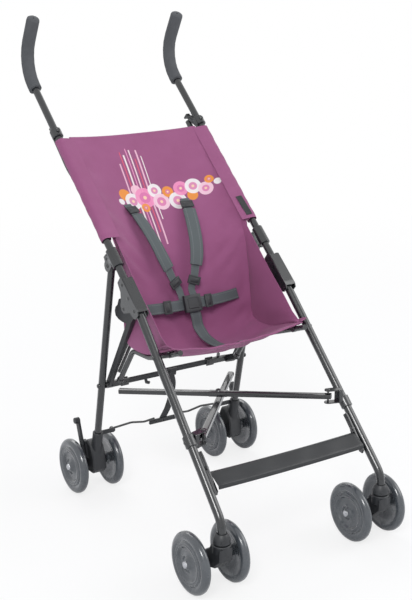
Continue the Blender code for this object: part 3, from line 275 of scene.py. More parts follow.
@dataclass(frozen=True)
class GripFoam:
    """Soft closed-cell foam."""

    name: str = "grip_foam"
    base: tuple = (0.052, 0.055, 0.060)
    lift: tuple = (0.092, 0.096, 0.104)

    def build(self) -> bpy.types.Material:
        """Makes pores over a soft mottle.

        Returns:
            The material.
        """
        shade = Shade(self.name, 0.82)
        cells = shade.node("ShaderNodeTexVoronoi", Vector=shade.place(), Scale=950.0)
        pores = Term(shade.tree, cells.outputs["Distance"])
        shade.colour(shade.blend(shade.noise(60.0, 4.0) * 0.7 + pores * 0.35, self.base, self.lift))
        shade.roughness(0.74 + pores * 0.18)
        shade.bump(pores, 0.35, 0.0004)
        return shade.material


@dataclass(frozen=True)
class BareSteel:
    """Plain bright steel."""

    name: str = "bare_steel"

    def build(self) -> bpy.types.Material:
        """Makes fine turning marks.

        Returns:
            The material.
        """
        shade = Shade(self.name, 0.30, 1.0)
        marks = shade.noise(420.0, 3.0)
        shade.colour(shade.blend(marks, (0.42, 0.43, 0.45), (0.62, 0.63, 0.66)))
        shade.roughness(0.22 + marks * 0.16)
        return shade.material


@dataclass(frozen=True)
class Dot:
    """One round spot of the print, placed in cloth coordinates."""

    across: float
    up: float
    radius: float
    tone: tuple
    ring: float = 0.0


@dataclass(frozen=True)
class SeatCloth:
    """Plum woven cloth with narrow stripes and a cluster of round spots."""

    name: str = "seat_cloth"
    base: tuple = (0.245, 0.062, 0.155)
    lift: tuple = (0.325, 0.098, 0.225)
    threads: float = 5200.0
    printed: bool = True
    print_scale: float = 1.07
    print_shift: float = 0.039
    stripe_shift: float = 0.040
    stripe_gap: float = 0.020
    ring_tone: tuple = (0.62, 0.16, 0.36)
    eye_tone: tuple = (0.85, 0.62, 0.40)
    stripes: tuple = (
        (-0.104, 0.0018, 0.250, 0.050, STRIPE_PINK),
        (-0.095, 0.0012, 0.235, 0.020, STRIPE_RED),
        (-0.087, 0.0020, 0.255, 0.028, STRIPE_WHITE),
        (-0.078, 0.0012, 0.290, 0.012, STRIPE_ROSE),
        (-0.070, 0.0016, 0.300, 0.016, STRIPE_BLUSH),
        (-0.061, 0.0012, 0.245, 0.040, STRIPE_RED),
        (-0.053, 0.0020, 0.275, 0.018, STRIPE_PINK),
        (-0.044, 0.0012, 0.215, 0.034, STRIPE_WHITE))
    dots: tuple = (
        Dot(-0.112, 0.150, 0.014, ORANGE), Dot(-0.096, 0.166, 0.019, WHITE, 0.52),
        Dot(-0.080, 0.138, 0.012, PALE_PINK), Dot(-0.064, 0.158, 0.023, ROSE, 0.55),
        Dot(-0.070, 0.183, 0.010, ORANGE, 0.45), Dot(-0.036, 0.143, 0.016, WHITE, 0.50),
        Dot(-0.028, 0.172, 0.019, BLUSH, 0.56), Dot(-0.006, 0.150, 0.013, ORANGE, 0.42),
        Dot(0.010, 0.176, 0.020, WHITE, 0.54), Dot(0.026, 0.148, 0.017, ROSE, 0.50),
        Dot(0.046, 0.172, 0.012, ORANGE), Dot(0.054, 0.150, 0.018, WHITE, 0.52),
        Dot(0.078, 0.166, 0.016, BLUSH, 0.50), Dot(0.092, 0.146, 0.010, ORANGE, 0.40),
        Dot(0.106, 0.160, 0.008, WHITE), Dot(-0.126, 0.168, 0.007, WHITE))

    def build(self) -> bpy.types.Material:
        """Makes the weave and, on the printed side, the print.

        Returns:
            The material.
        """
        shade = Shade(self.name, 0.84)
        u, v, _ = shade.axes(uv=True)
        weave = ((u * self.threads).sine() * (v * self.threads).sine()) * 0.5 + 0.5
        cloudy = shade.noise(16.0, 4.0, uv=True)
        cloth = shade.blend(cloudy * 0.75 + weave * 0.20, self.base, self.lift)
        if self.printed:
            cloth = self.print_on(shade, u, v, cloth)
        shade.colour(cloth)
        shade.roughness(0.78 + weave * 0.14)
        shade.bump(weave + shade.noise(70.0, 4.0, uv=True) * 0.8, 0.30, 0.0006)
        shade.shader.inputs["Sheen Weight"].default_value = 0.10
        shade.shader.inputs["Sheen Roughness"].default_value = 0.5
        return shade.material

    def print_on(self, shade: Shade, u: Term, v: Term, cloth: Socket) -> Socket:
        """Lays the stripes and spots on the cloth.

        Args:
            shade: the surface under construction.
            u: metres across from the middle.
            v: metres down from the top hem.
            cloth: the colour underneath.

        Returns:
            The printed colour's socket.
        """
        for across, half, end, start, tone in self.stripes:
            inside = (u - across - self.stripe_shift).size().below(half)
            mask = inside * v.below(end) * v.above(start + self.stripe_gap)
            cloth = shade.blend(mask * 0.85, cloth, tone)
        for dot in self.dots:
            du, dv = u - (dot.across * self.print_scale + self.print_shift), v - dot.up
            far = (du * du + dv * dv) ** 0.5
            radius = dot.radius * self.print_scale
            cloth = shade.blend(far.below(radius) * 0.92, cloth, dot.tone)
            if dot.ring:
                inner = far.below(radius * dot.ring) * 0.85
                cloth = shade.blend(inner, cloth, self.ring_tone)
                cloth = shade.blend(far.below(radius * 0.18) * 0.9, cloth, self.eye_tone)
        return cloth


@dataclass(frozen=True)
class Webbing:
    """Dark grey woven band with ribs along its length."""

    name: str = "harness_webbing"
    base: tuple = (0.060, 0.072, 0.076)
    lift: tuple = (0.115, 0.132, 0.138)
    ribs: float = 2600.0

    def build(self) -> bpy.types.Material:
        """Makes the ribs, the picks across them and the stitches by the edges.

        Returns:
            The material.
        """
        shade = Shade(self.name, 0.80)
        u, v, _ = shade.axes(uv=True)
        rib = (u * self.ribs).sine() * 0.5 + 0.5
        pick = (v * 3400.0).sine() * 0.5 + 0.5
        edge = (u.size() - 0.0085).size().below(0.0006) * (v * 1500.0).sine().above(0.1)
        tone = shade.blend(rib * 0.5 + pick * 0.3, self.base, self.lift)
        shade.colour(shade.blend(edge * 0.8, tone, (0.20, 0.21, 0.22)))
        shade.bump(rib * 0.7 + pick * 0.4, 0.40, 0.0004)
        shade.roughness(0.70 + rib * 0.16)
        return shade.material


@dataclass(frozen=True)
class FootCloth:
    """Coated footrest strip with a soft shine."""

    name: str = "foot_cloth"

    def build(self) -> bpy.types.Material:
        """Makes the fine leather-like grain and its scuffs.

        Returns:
            The material.
        """
        shade = Shade(self.name, 0.42)
        grain = shade.node("ShaderNodeTexVoronoi", Vector=shade.place(), Scale=520.0)
        cells = Term(shade.tree, grain.outputs["Distance"])
        scuff = shade.noise(22.0, 5.0)
        shade.colour(shade.blend(scuff, (0.010, 0.011, 0.013), (0.024, 0.026, 0.029)))
        shade.roughness(0.22 + scuff * 0.20)
        shade.bump(cells, 0.30, 0.0005)
        return shade.material


class Finish(Enum):
    """The finishes that the pieces share."""

    TUBE = HardSurface("coated_tube", (0.006, 0.007, 0.008), (0.017, 0.019, 0.022), 0.20,
                       (26.0, 3.0), (900.0, 2.0), (0.6, 0.3), (0.10, 0.06), (0.10, 0.0002), (0.70, 0.07))
    PLASTIC = HardSurface("moulded_plastic", (0.013, 0.014, 0.016), (0.028, 0.030, 0.034), 0.40,
                          (18.0, 2.0), (1300.0, 1.0), (1.0, 0.0), (0.0, 0.14), (0.18, 0.0002))
    FOAM = GripFoam()
    WHEEL = HardSurface("wheel_resin", (0.028, 0.033, 0.039), (0.090, 0.100, 0.112), 0.16,
                        (30.0, 4.0), (600.0, 2.0), (0.75, 0.2), (0.16, 0.05), (0.12, 0.0003), (0.70, 0.08))
    STEEL = BareSteel()
    PRINTED = SeatCloth()
    PLAIN = SeatCloth(name="plain_cloth", printed=False)
    BAND = Webbing()
    FOOT = FootCloth()


@cache
def surface(finish: Finish) -> bpy.types.Material:
    """The finish's material, built once."""
    return finish.value.build()


def dress(obj: Piece, finish: Finish) -> None:
    """Gives a piece one finish."""
    obj.data.materials.clear()
    obj.data.materials.append(surface(finish))


# Mesh helpers

def add(name: str, data: bpy.types.ID) -> Piece:
    """Puts a mesh, a lamp or a camera into the scene.

    Args:
        name: the object's name.
        data: what it holds.

    Returns:
        The object.
    """
    obj = bpy.data.objects.new(name, data)
    bpy.context.scene.collection.objects.link(obj)
    return obj


def start_clean() -> None:
    """Leaves edit mode and deselects everything."""
    if bpy.context.object is not None and bpy.context.object.mode != "OBJECT":
        bpy.ops.object.mode_set(mode="OBJECT")
    bpy.ops.object.select_all(action="DESELECT")


def pick(obj: Piece) -> None:
    """Leaves edit mode and selects one piece only.

    Args:
        obj: the piece.
    """
    start_clean()
    bpy.context.view_layer.objects.active = obj
    obj.select_set(True)


def settle(obj: Piece, angle: float = 35.0) -> Piece:
    """Applies the modifiers and the place, and smooths the shading.

    Args:
        obj: the finished piece.
        angle: edges sharper than this, in degrees, stay sharp.

    Returns:
        The same piece, with its place in its mesh.
    """
    pick(obj)
    for modifier in list(obj.modifiers):
        bpy.ops.object.modifier_apply(modifier=modifier.name)
    bpy.ops.object.transform_apply(location=True, rotation=True, scale=True)
    bpy.ops.object.shade_smooth_by_angle(angle=math.radians(angle))
    obj.select_set(False)
    return obj


@dataclass
class Grid:
    """Rows of points on a cloth, each with its place on the flat cloth in metres."""

    points: list = field(default_factory=list)
    places: list = field(default_factory=list)

    def start_row(self) -> None:
        """Begins the next row."""
        self.points.append([])
        self.places.append([])

    def add(self, point: Vector, place: tuple) -> None:
        """Adds a point to the row, with its place on the flat cloth."""
        self.points[-1].append(point)
        self.places[-1].append(place)

    def area(self) -> float:
        """Flat area of the cloth.

        Returns:
            Square metres.
        """
        total = 0.0
        for a, b in zip(self.points, self.points[1:]):
            for k in range(len(a) - 1):
                total += ((a[k + 1] - a[k]).cross(b[k] - a[k])).length / 2
                total += ((b[k] - b[k + 1]).cross(a[k + 1] - b[k + 1])).length / 2
        return total

    def sheet(self, name: str) -> Piece:
        """Makes the open sheet, mapped by its flat places.

        Args:
            name: the piece's name.

        Returns:
            The sheet.
        """
        bm = bmesh.new()
        layer = bm.loops.layers.uv.new("cloth")
        spots = [[bm.verts.new(p) for p in row] for row in self.points]
        lookup = {v: m for row, flat in zip(spots, self.places) for v, m in zip(row, flat)}
        for a, b in zip(spots, spots[1:]):
            for k in range(len(a) - 1):
                face = bm.faces.new((a[k], a[k + 1], b[k + 1], b[k]))
                for loop in face.loops:
                    loop[layer].uv = lookup[loop.vert]
        mesh = bpy.data.meshes.new(name)
        bm.to_mesh(mesh)
        bm.free()
        return add(name, mesh)

    def skin(self, name: str, thick: float, finish: Finish, soften: float = 0.0) -> Piece:
        """Makes a closed skin with its faces outwards.

        Args:
            name: the piece's name.
            thick: the wall.
            finish: the piece's finish.
            soften: radius on the outer edges.

        Returns:
            The finished piece.
        """
        obj = self.sheet(name)
        give_wall(obj, thick, soften=soften)
        face_out(obj)
        dress(obj, finish)
        return obj


def give_wall(obj: Piece, thick: float, offset: float = 0.0, soften: float = 0.0) -> None:
    """Turns a sheet into a closed skin.

    Args:
        obj: the sheet.
        thick: the wall.
        offset: 1 grows along the faces' normals, -1 against them, 0 both ways.
        soften: radius on the outer edges.
    """
    skin = obj.modifiers.new("wall", "SOLIDIFY")
    skin.thickness, skin.offset = thick, offset
    if soften:
        edge = obj.modifiers.new("edge", "BEVEL")
        edge.width, edge.segments, edge.limit_method = soften, 2, "ANGLE"
    settle(obj, 50.0)


def open_mesh(obj: Piece) -> None:
    """Opens a piece for editing with everything selected.

    Args:
        obj: the piece.
    """
    pick(obj)
    bpy.ops.object.mode_set(mode="EDIT")
    bpy.ops.mesh.select_all(action="SELECT")


def face_out(obj: Piece) -> None:
    """Turns a closed skin's faces outwards.

    Args:
        obj: the skin.
    """
    open_mesh(obj)
    bpy.ops.mesh.normals_make_consistent(inside=False)
    bpy.ops.object.mode_set(mode="OBJECT")
    obj.select_set(False)


def between(values: Sequence, place: float) -> Union[float, Vector]:
    """Smooth value along a list of numbers or points.

    Args:
        values: the list.
        place: where, counted in items from 0.

    Returns:
        The value there.
    """
    last = len(values) - 1
    i = min(int(place), last - 1)
    t = place - i
    a, b, c, d = (values[min(max(k, 0), last)] for k in (i - 1, i, i + 1, i + 2))
    return 0.5 * (2 * b + (c - a) * t + (2 * a - 5 * b + 4 * c - d) * t * t
                  + (3 * b - a - 3 * c + d) * t ** 3)


def cube(name: str, size: tuple) -> Piece:
    """Plain box, open for editing and with everything selected.

    Args:
        name: the piece's name.
        size: its width, length and height.

    Returns:
        The box.
    """
    start_clean()
    bpy.ops.mesh.primitive_cube_add(size=1.0, location=(0, 0, 0))
    box = bpy.context.object
    box.name = name
    box.scale = size
    bpy.ops.object.transform_apply(location=False, rotation=False, scale=True)
    open_mesh(box)
    return box


def press_top(obj: Piece, level: float, least: float, steps: tuple) -> None:
    """Presses the large upper faces in, one inset after another, and leaves editing.

    Args:
        obj: the piece, open for editing.
        level: how straight up a face looks, at least.
        least: a face's area, at least.
        steps: each inset's thickness and depth.
    """
    bm = bmesh.from_edit_mesh(obj.data)
    for face in bm.faces:
        face.select = face.normal.z > level and face.calc_area() > least
    bmesh.update_edit_mesh(obj.data)
    for thickness, depth in steps:
        bpy.ops.mesh.inset(thickness=thickness, depth=depth)
    bpy.ops.object.mode_set(mode="OBJECT")


def turned(x: Vector, y: Vector, z: Vector, spot: Vector) -> Matrix:
    """Lays a piece's own axes along three directions at a spot.

    Args:
        x: where the piece's X goes.
        y: where its Y goes.
        z: where its Z goes.
        spot: where its middle goes.

    Returns:
        The matrix.
    """
    matrix = Matrix((x, y, z)).transposed().to_4x4()
    matrix.translation = spot
    return matrix


def smoothstep(low: float, high: float, value: float) -> float:
    """Smooth rise from 0 at low to 1 at high."""
    t = min(1.0, max(0.0, (value - low) / (high - low)))
    return t * t * (3 - 2 * t)


def bell(value: float, middle: float, width: float) -> float:
    """Bell curve of height 1."""
    return math.exp(-((value - middle) / width) ** 2)


def gather(obj: Piece, *nodes: str, slot: str = "cloth") -> None:
    """Lets a soft piece ride the left frame.

    Args:
        obj: the piece.
        nodes: the model's nodes that it replaces.
        slot: not used.
    """
    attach(obj, "left_frame")
    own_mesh(obj)
    if nodes:
        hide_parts(*nodes)
    LOG.info("%s gathers with the fold", obj.name)


def carry(obj: Piece, side: int) -> None:
    """Lets a piece wrapped round one push tube go with that side of the frame."""
    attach(obj, "left_frame" if side < 0 else "right_frame")


# The rigid frame

@dataclass
class RigidFrame:
    """The tubes, joints and housings, kept from the model and given their finish."""

    smooth_angle: float = 38.0
    soft: tuple = ("seat_sling", "shoulder_strap_l", "shoulder_strap_r", "waist_strap", "crotch_strap",
                   "harness_buckle", "footrest")

    def build(self) -> None:
        """Dresses every rigid node except the wheels."""
        slots = {item["node"]: item["material_slot"] for item in frame["record"]["subparts"]}
        for name, node in frame["nodes"].items():
            if name in self.soft or "wheel" in name:
                continue
            self.smooth(node)
            dress(node, Finish[slots[name].upper()])
            LOG.info("%s dressed", name)

    def smooth(self, node: Piece) -> None:
        """Joins the loose facets and rounds their shading up to the sharp edges.

        Args:
            node: the model's node.
        """
        for poly in node.data.polygons:
            poly.use_smooth = True
        weld = node.modifiers.new("join", "WELD")
        weld.merge_threshold = WELD
        split = node.modifiers.new("sharp", "EDGE_SPLIT")
        split.split_angle = math.radians(self.smooth_angle)


@dataclass
class Wheels:
    """The eight moulded wheels."""

    radius: float = 0.0635
    facets: int = 72
    lean: float = 0.0006
    profile: tuple = (
        (0.0122, 0.0046), (0.0122, 0.0088), (0.0114, 0.0102), (0.0088, 0.0120), (0.0070, 0.0146),
        (0.0052, 0.0190), (0.0046, 0.0250), (0.0054, 0.0312), (0.0078, 0.0338), (0.0096, 0.0350),
        (0.0103, 0.0362), (0.0103, 0.0378), (0.0092, 0.0388), (0.0092, 0.0404), (0.0102, 0.0414),
        (0.0102, 0.0432), (0.0086, 0.0446), (0.0078, 0.0458), (0.0084, 0.0474), (0.0096, 0.0506),
        (0.0099, 0.0536), (0.0092, 0.0570), (0.0074, 0.0602), (0.0044, 0.0625), (0.0000, 0.0634),
        (-0.0044, 0.0625), (-0.0072, 0.0602), (-0.0090, 0.0570), (-0.0098, 0.0522), (-0.0088, 0.0470),
        (-0.0068, 0.0440), (-0.0060, 0.0300), (-0.0060, 0.0155), (-0.0104, 0.0126), (-0.0111, 0.0118),
        (-0.0111, 0.0046))

    def build(self) -> None:
        """Models one wheel and sets its copies in place."""
        master = self.turn()
        for name in sorted(n for n in frame["nodes"] if "wheel" in n):
            low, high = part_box(name)
            middle = (low + high) / 2
            side = -1 if "_l_" in name else 1
            twin = side if name.endswith("outer") else -side
            mesh = master.data.copy()
            if twin < 0:
                mesh.transform(Matrix.Rotation(math.pi, 4, "Z"))
            offset = Vector((middle.x - twin * self.lean, middle.y, self.radius))
            mesh.transform(Matrix.Translation(offset))
            wheel = add(name + "_moulded", mesh)
            dress(wheel, Finish.WHEEL)
            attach(wheel, name)
            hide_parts(name)
            LOG.info("%s built", wheel.name)
        bpy.data.objects.remove(master, do_unlink=True)

    def turn(self) -> Piece:
        """Draws the section out of a circle, ring by ring, and closes it at the bore.

        Returns:
            The wheel, round the X axis.
        """
        start_clean()
        x, r = self.profile[0]
        bpy.ops.mesh.primitive_circle_add(vertices=self.facets, radius=r, fill_type="NOTHING",
                                          location=(x, 0, 0), rotation=(0, math.pi / 2, 0))
        wheel = bpy.context.object
        bpy.ops.object.transform_apply(location=True, rotation=True, scale=True)
        open_mesh(wheel)
        for (x0, r0), (x1, r1) in zip(self.profile, self.profile[1:]):
            bpy.ops.mesh.extrude_region_move(TRANSFORM_OT_translate={"value": (x1 - x0, 0, 0)})
            bpy.ops.transform.resize(value=(1, r1 / r0, r1 / r0), center_override=(x1, 0, 0))
        bpy.ops.mesh.select_mode(type="VERT")
        bpy.ops.mesh.select_all(action="DESELECT")
        bpy.ops.mesh.select_non_manifold()
        bpy.ops.mesh.bridge_edge_loops()
        face_out(wheel)
        return settle(wheel, 32.0)


# The cloth seat

@dataclass
class SeatSling:
    """The seat's one long cloth with its hems, sleeves and side walls."""

    half: float = 0.1640
    wall: float = 0.0016
    across: int = 57
    steps: int = 8
    rows: tuple = (
        (0.3600, 0.7930, 0.3640, 0.7870), (0.3080, 0.7470, 0.3210, 0.7330),
        (0.2500, 0.6960, 0.2720, 0.6680), (0.1930, 0.6460, 0.2230, 0.6050),
        (0.1560, 0.6060, 0.1900, 0.5520), (0.1440, 0.5600, 0.1700, 0.5000),
        (0.1360, 0.5050, 0.1540, 0.4500), (0.1270, 0.4400, 0.1370, 0.4050),
        (0.1210, 0.3990, 0.1160, 0.3720), (0.0960, 0.3860, 0.0840, 0.3560),
        (0.0420, 0.3880, 0.0340, 0.3580), (-0.0100, 0.4062, -0.0130, 0.3780),
        (-0.0620, 0.4255, -0.0560, 0.4050))
    knee: tuple = (0.036, 0.502)
    slope: float = math.radians(41.3)
    sleeve_from: float = 0.160
    sleeve_to: float = 0.436
    lap: tuple = ((0.1570, 0.0062), (0.1630, 0.0074), (0.1710, 0.0088), (0.1790, 0.0100))
    sleeve_radius: float = 0.0108
    sleeve_wall: float = 0.0011
    sleeve_cuts: int = 34
    wrap_cuts: int = 18
    wrap_from: float = 100.0
    wrap_step: float = 17.4
    tab_from: float = 0.168
    tab_left: float = 0.1715
    tab_wall: float = 0.0010
    tab_cuts: tuple = (10, 6)
    tab_pitch: tuple = (0.0054, 0.0024)
    hem_cuts: int = 12
    hem_size: tuple = (0.0050, 0.0021)
    hem_ahead: float = 0.0035
    side_cuts: tuple = (42, 12)
    corner_cuts: tuple = (14, 8)
    last_row: float = 11.99

    def point(self, row: float, u: float) -> Vector:
        """Place on the cloth before folds.

        Args:
            row: how far down, in rows.
            u: how far across, from -1 to +1.

        Returns:
            The point.
        """
        ey, ez, cy, cz = (between([line[k] for line in self.rows], row) for k in range(4))
        w = 1 - abs(u) ** 2.4
        return Vector((u * self.half, ey + (cy - ey) * w - DEPTH_SHIFT, ez + (cz - ez) * w))

    def out(self, row: float, u: float) -> Vector:
        """Direction out of the cloth towards the child.

        Args:
            row: how far down, in rows.
            u: how far across, from -1 to +1.

        Returns:
            The unit direction.
        """
        e = 0.02
        low, high = max(0.0, row - e), min(len(self.rows) - 1.001, row + e)
        along = self.point(high, u) - self.point(low, u)
        across = self.point(row, u + e) - self.point(row, u - e)
        return across.cross(along).normalized() * -1

    def folds(self, row: float, u: float) -> float:
        """Height of the soft folds and pulls in the cloth.

        Args:
            row: how far down, in rows.
            u: how far across, from -1 to +1.

        Returns:
            Metres out of the cloth.
        """
        lap = 0.0028 * bell(row, 6.6, 0.9) * math.sin(11.0 * u + 0.6 * math.sin(5 * row))
        pull = 0.0022 * bell(row, 4.6, 1.3) * bell(abs(u), 0.72, 0.22) * math.sin(7.5 * (row + 1.6 * abs(u)))
        low = 0.0020 * bell(row, 8.6, 0.7) * math.sin(8.0 * u + 1.2)
        front = 0.0024 * bell(row, 11.3, 0.7) * math.sin(17.0 * u + 1.5 * math.sin(4.0 * u + row))
        corner = 0.0026 * bell(row, 9.4, 1.6) * bell(abs(u), 0.86, 0.16) * math.sin(5.5 * row + 9.0 * abs(u))
        edge = 0.0016 * bell(abs(u), 0.93, 0.12) * math.sin(9.0 * row) * bell(row, 3.0, 2.6)
        broad = 0.0010 * math.sin(2.1 * row + 3.0 * u) * (1 - u * u)
        return lap + pull + low + front + corner + edge + broad

    def build(self) -> None:
        """Makes the seat cloth and what is sewn to it."""
        self.main_cloth()
        self.sewn_tab()
        for side, tag in SIDES:
            self.sleeve(side, tag)
            self.side_wall(side, tag)
        self.front_corner()

    def main_cloth(self) -> None:
        """Back and seat in one piece, with rolled hems at top and front."""
        last = len(self.rows) - 1
        count = last * self.steps
        stations = [last * k / count for k in range(count + 1)]
        crowd = math.pi / 2 * 0.92
        us = [math.sin(crowd * (2 * k / (self.across - 1) - 1)) / math.sin(crowd) for k in range(self.across)]
        grid, run = Grid(), 0.0
        before = self.point(0, 0)
        for row in stations:
            here = self.point(row, 0)
            run += (here - before).length
            before = here
            grid.start_row()
            for u in us:
                edge = smoothstep(1.0, 0.9, abs(u))
                lift = self.folds(row, u) * edge + 0.0006
                flare = 0.0085 * bell(row, 3.9, 0.6) * smoothstep(0.8, 1.0, abs(u))
                place = self.point(row, u) + self.out(row, u) * lift
                grid.add(place + Vector((math.copysign(flare, u), 0, 0)), (u * self.half, run))
        cloth = grid.sheet("seat_cloth")
        give_wall(cloth, self.wall, -1.0)
        dress(cloth, Finish.PRINTED)
        self.plain_back(cloth)
        gather(cloth, "seat_sling")
        self.hem("seat_hem_top", 0.04, us)
        self.hem("seat_hem_front", last - 0.04, us)
        width, length = 2 * self.half * 1.07, run
        min(grid.area(), width * length)

    def plain_back(self, cloth: Piece) -> None:
        """Leaves the print off the faces that look backwards and down.

        Args:
            cloth: the seat cloth.
        """
        cloth.data.materials.append(surface(Finish.PLAIN))
        for face in cloth.data.polygons:
            if face.normal.y > face.normal.z:
                face.material_index = 1

    def sewn_tab(self) -> None:
        """Small plain tab sewn on the right-hand sleeve."""
        grid = Grid()
        down, over = self.tab_pitch
        for k in range(self.tab_cuts[0] + 1):
            y, z = self.tube_point(self.tab_from + down * k)
            grid.start_row()
            for j in range(self.tab_cuts[1] + 1):
                x = self.tab_left + over * j - 0.0003 * k
                lift = 0.0103 + 0.15 * (x - 0.171) + 0.0002 * math.sin(k + j)
                grid.add(Vector((x, y, z)) + self.tube_up() * lift, (j * over, k * down))
        carry(grid.skin("sewn_tab", self.tab_wall, Finish.FOOT), 1)

    def hem(self, name: str, row: float, us: Sequence[float]) -> None:
        """Rolled hem along one end of the cloth.

        Args:
            name: the piece's name.
            row: the cloth's row that it follows.
            us: places across the cloth.
        """
        forward = -1 if row < 1 else 1
        grid = Grid()
        reach, rise = self.hem_size
        for turn in range(self.hem_cuts + 1):
            a = 2 * math.pi * turn / self.hem_cuts
            grid.start_row()
            for u in us:
                out = self.out(row, u)
                ahead, behind = min(row + 0.03, self.last_row), max(row - 0.03, 0)
                along = (self.point(ahead, u) - self.point(behind, u)).normalized()
                height = self.folds(row, u) * 0.9
                centre = self.point(row, u) + along * self.hem_ahead * forward + out * height
                spot = centre + along * math.cos(a) * reach + out * math.sin(a) * rise
                grid.add(spot, (u * self.half, turn * 0.002))
        hem = grid.sheet(name)
        open_mesh(hem)
        bpy.ops.mesh.remove_doubles(threshold=WELD)
        bpy.ops.mesh.fill_holes(sides=0)
        face_out(hem)
        settle(hem, 60.0)
        dress(hem, Finish.PLAIN)
        gather(hem)

    def tube_point(self, s: float, v: float = 0.0) -> tuple[float, float]:
        """Place (y, z) at a distance up the push tube, v behind its axis."""
        c, q = math.cos(self.slope), math.sin(self.slope)
        return self.knee[0] + s * c + v * q - DEPTH_SHIFT, self.knee[1] + s * q - v * c

    def tube_up(self) -> Vector:
        """Direction out of the push tube towards the child."""
        return Vector((0, -math.sin(self.slope), math.cos(self.slope)))

    def sleeve(self, side: int, tag: str) -> None:
        """Sleeve wrapped round the push tube, with its lap on the seat's edge.

        Args:
            side: -1 on the left and 1 on the right.
            tag: the side's letter in names.
        """
        grid = Grid()
        for k in range(self.sleeve_cuts + 1):
            s = self.sleeve_from + (self.sleeve_to - self.sleeve_from) * k / self.sleeve_cuts
            y, z = self.tube_point(s)
            up = self.tube_up()
            crease = 0.0004 * math.sin(s * 190.0) + 0.0003 * math.sin(s * 77.0 + 1.0)
            radius = self.sleeve_radius + crease
            centre = Vector((side * FRAME_X, y, z))
            grid.start_row()
            for j, (x, lift) in enumerate(self.lap):
                rise = lift + (crease if j > 1 else 0)
                grid.add(Vector((side * x, y, z)) + up * rise, (x - self.lap[0][0], s))
            for turn in range(self.wrap_cuts + 1):
                a = math.radians(self.wrap_from - self.wrap_step * turn)
                grid.add(centre + Vector((side * math.cos(a) * radius, 0, 0)) + up * math.sin(a) * radius,
                         (0.018 + turn * 0.0033, s))
        sleeve = grid.skin(f"seat_sleeve_{tag}", self.sleeve_wall, Finish.PLAIN)
        carry(sleeve, side)

    def side_wall(self, side: int, tag: str) -> None:
        """Side of the seat, from the push tube and leg down to the seat's edge.

        Args:
            side: -1 on the left and 1 on the right.
            tag: the side's letter in names.
        """
        along = ((0.172, -0.002), (0.120, 0), (0.070, 0.001), (0.020, 0.002))
        top = [self.tube_point(*place) for place in along]
        top += [(y - DEPTH_SHIFT, z) for y, z in ((0.000, 0.470), (-0.030, 0.442), (-0.060, 0.425))]
        stations = (5.0, 6.0, 7.0, 8.0, 9.5, 10.7, 12.0)
        grid = Grid()
        cuts, columns = self.side_cuts
        for k in range(cuts + 1):
            f = 6 * k / cuts
            i = min(int(f), 5)
            t = f - i
            hi = [a + (b - a) * t for a, b in zip(top[i], top[i + 1])]
            row = min(stations[i] + (stations[i + 1] - stations[i]) * t, self.last_row)
            edge = self.point(row, side)
            grid.start_row()
            for j in range(columns + 1):
                g = j / columns
                arch = math.sin(math.pi * g)
                bow = 0.0045 * arch + 0.0016 * arch * math.sin(2.9 * f + 6 * g)
                x = side * (0.1652 - 0.0016 * arch - bow * 0.6)
                grid.add(Vector((x, hi[0] + (edge.y - hi[0]) * g, hi[1] + (edge.z - hi[1]) * g)),
                         (g * 0.08, k * 0.008))
            under = self.out(row, side * 0.96) * 0.0030
            grid.add(Vector((side * 0.1636, edge.y, edge.z)) - under, (0.083, k * 0.008))
            grid.add(self.point(row, side * 0.965) - under, (0.089, k * 0.008))
        wall = grid.skin(f"seat_side_{tag}", SKIN, Finish.PLAIN)
        gather(wall)

    def front_corner(self) -> None:
        """Loops of cloth that carry the seat's front corners on the legs."""
        cuts, columns = self.corner_cuts
        for side, tag in SIDES:
            grid = Grid()
            for k in range(cuts + 1):
                f = k / cuts
                y = -0.0100 - 0.0560 * f - DEPTH_SHIFT
                z = 0.4062 + 0.0210 * f
                grid.start_row()
                for j in range(columns + 1):
                    g = j / columns
                    x = side * (0.1615 + 0.0125 * g)
                    droop = 0.0030 * math.sin(math.pi * g) + 0.0010 * math.sin(9 * f + 4 * g)
                    spot = Vector((x, y - 0.004 * g, z + 0.0035 + 0.006 * g - droop))
                    grid.add(spot, (g * 0.014, f * 0.06))
            corner = grid.skin(f"seat_corner_{tag}", SKIN, Finish.PLAIN)
            gather(corner)


# The harness

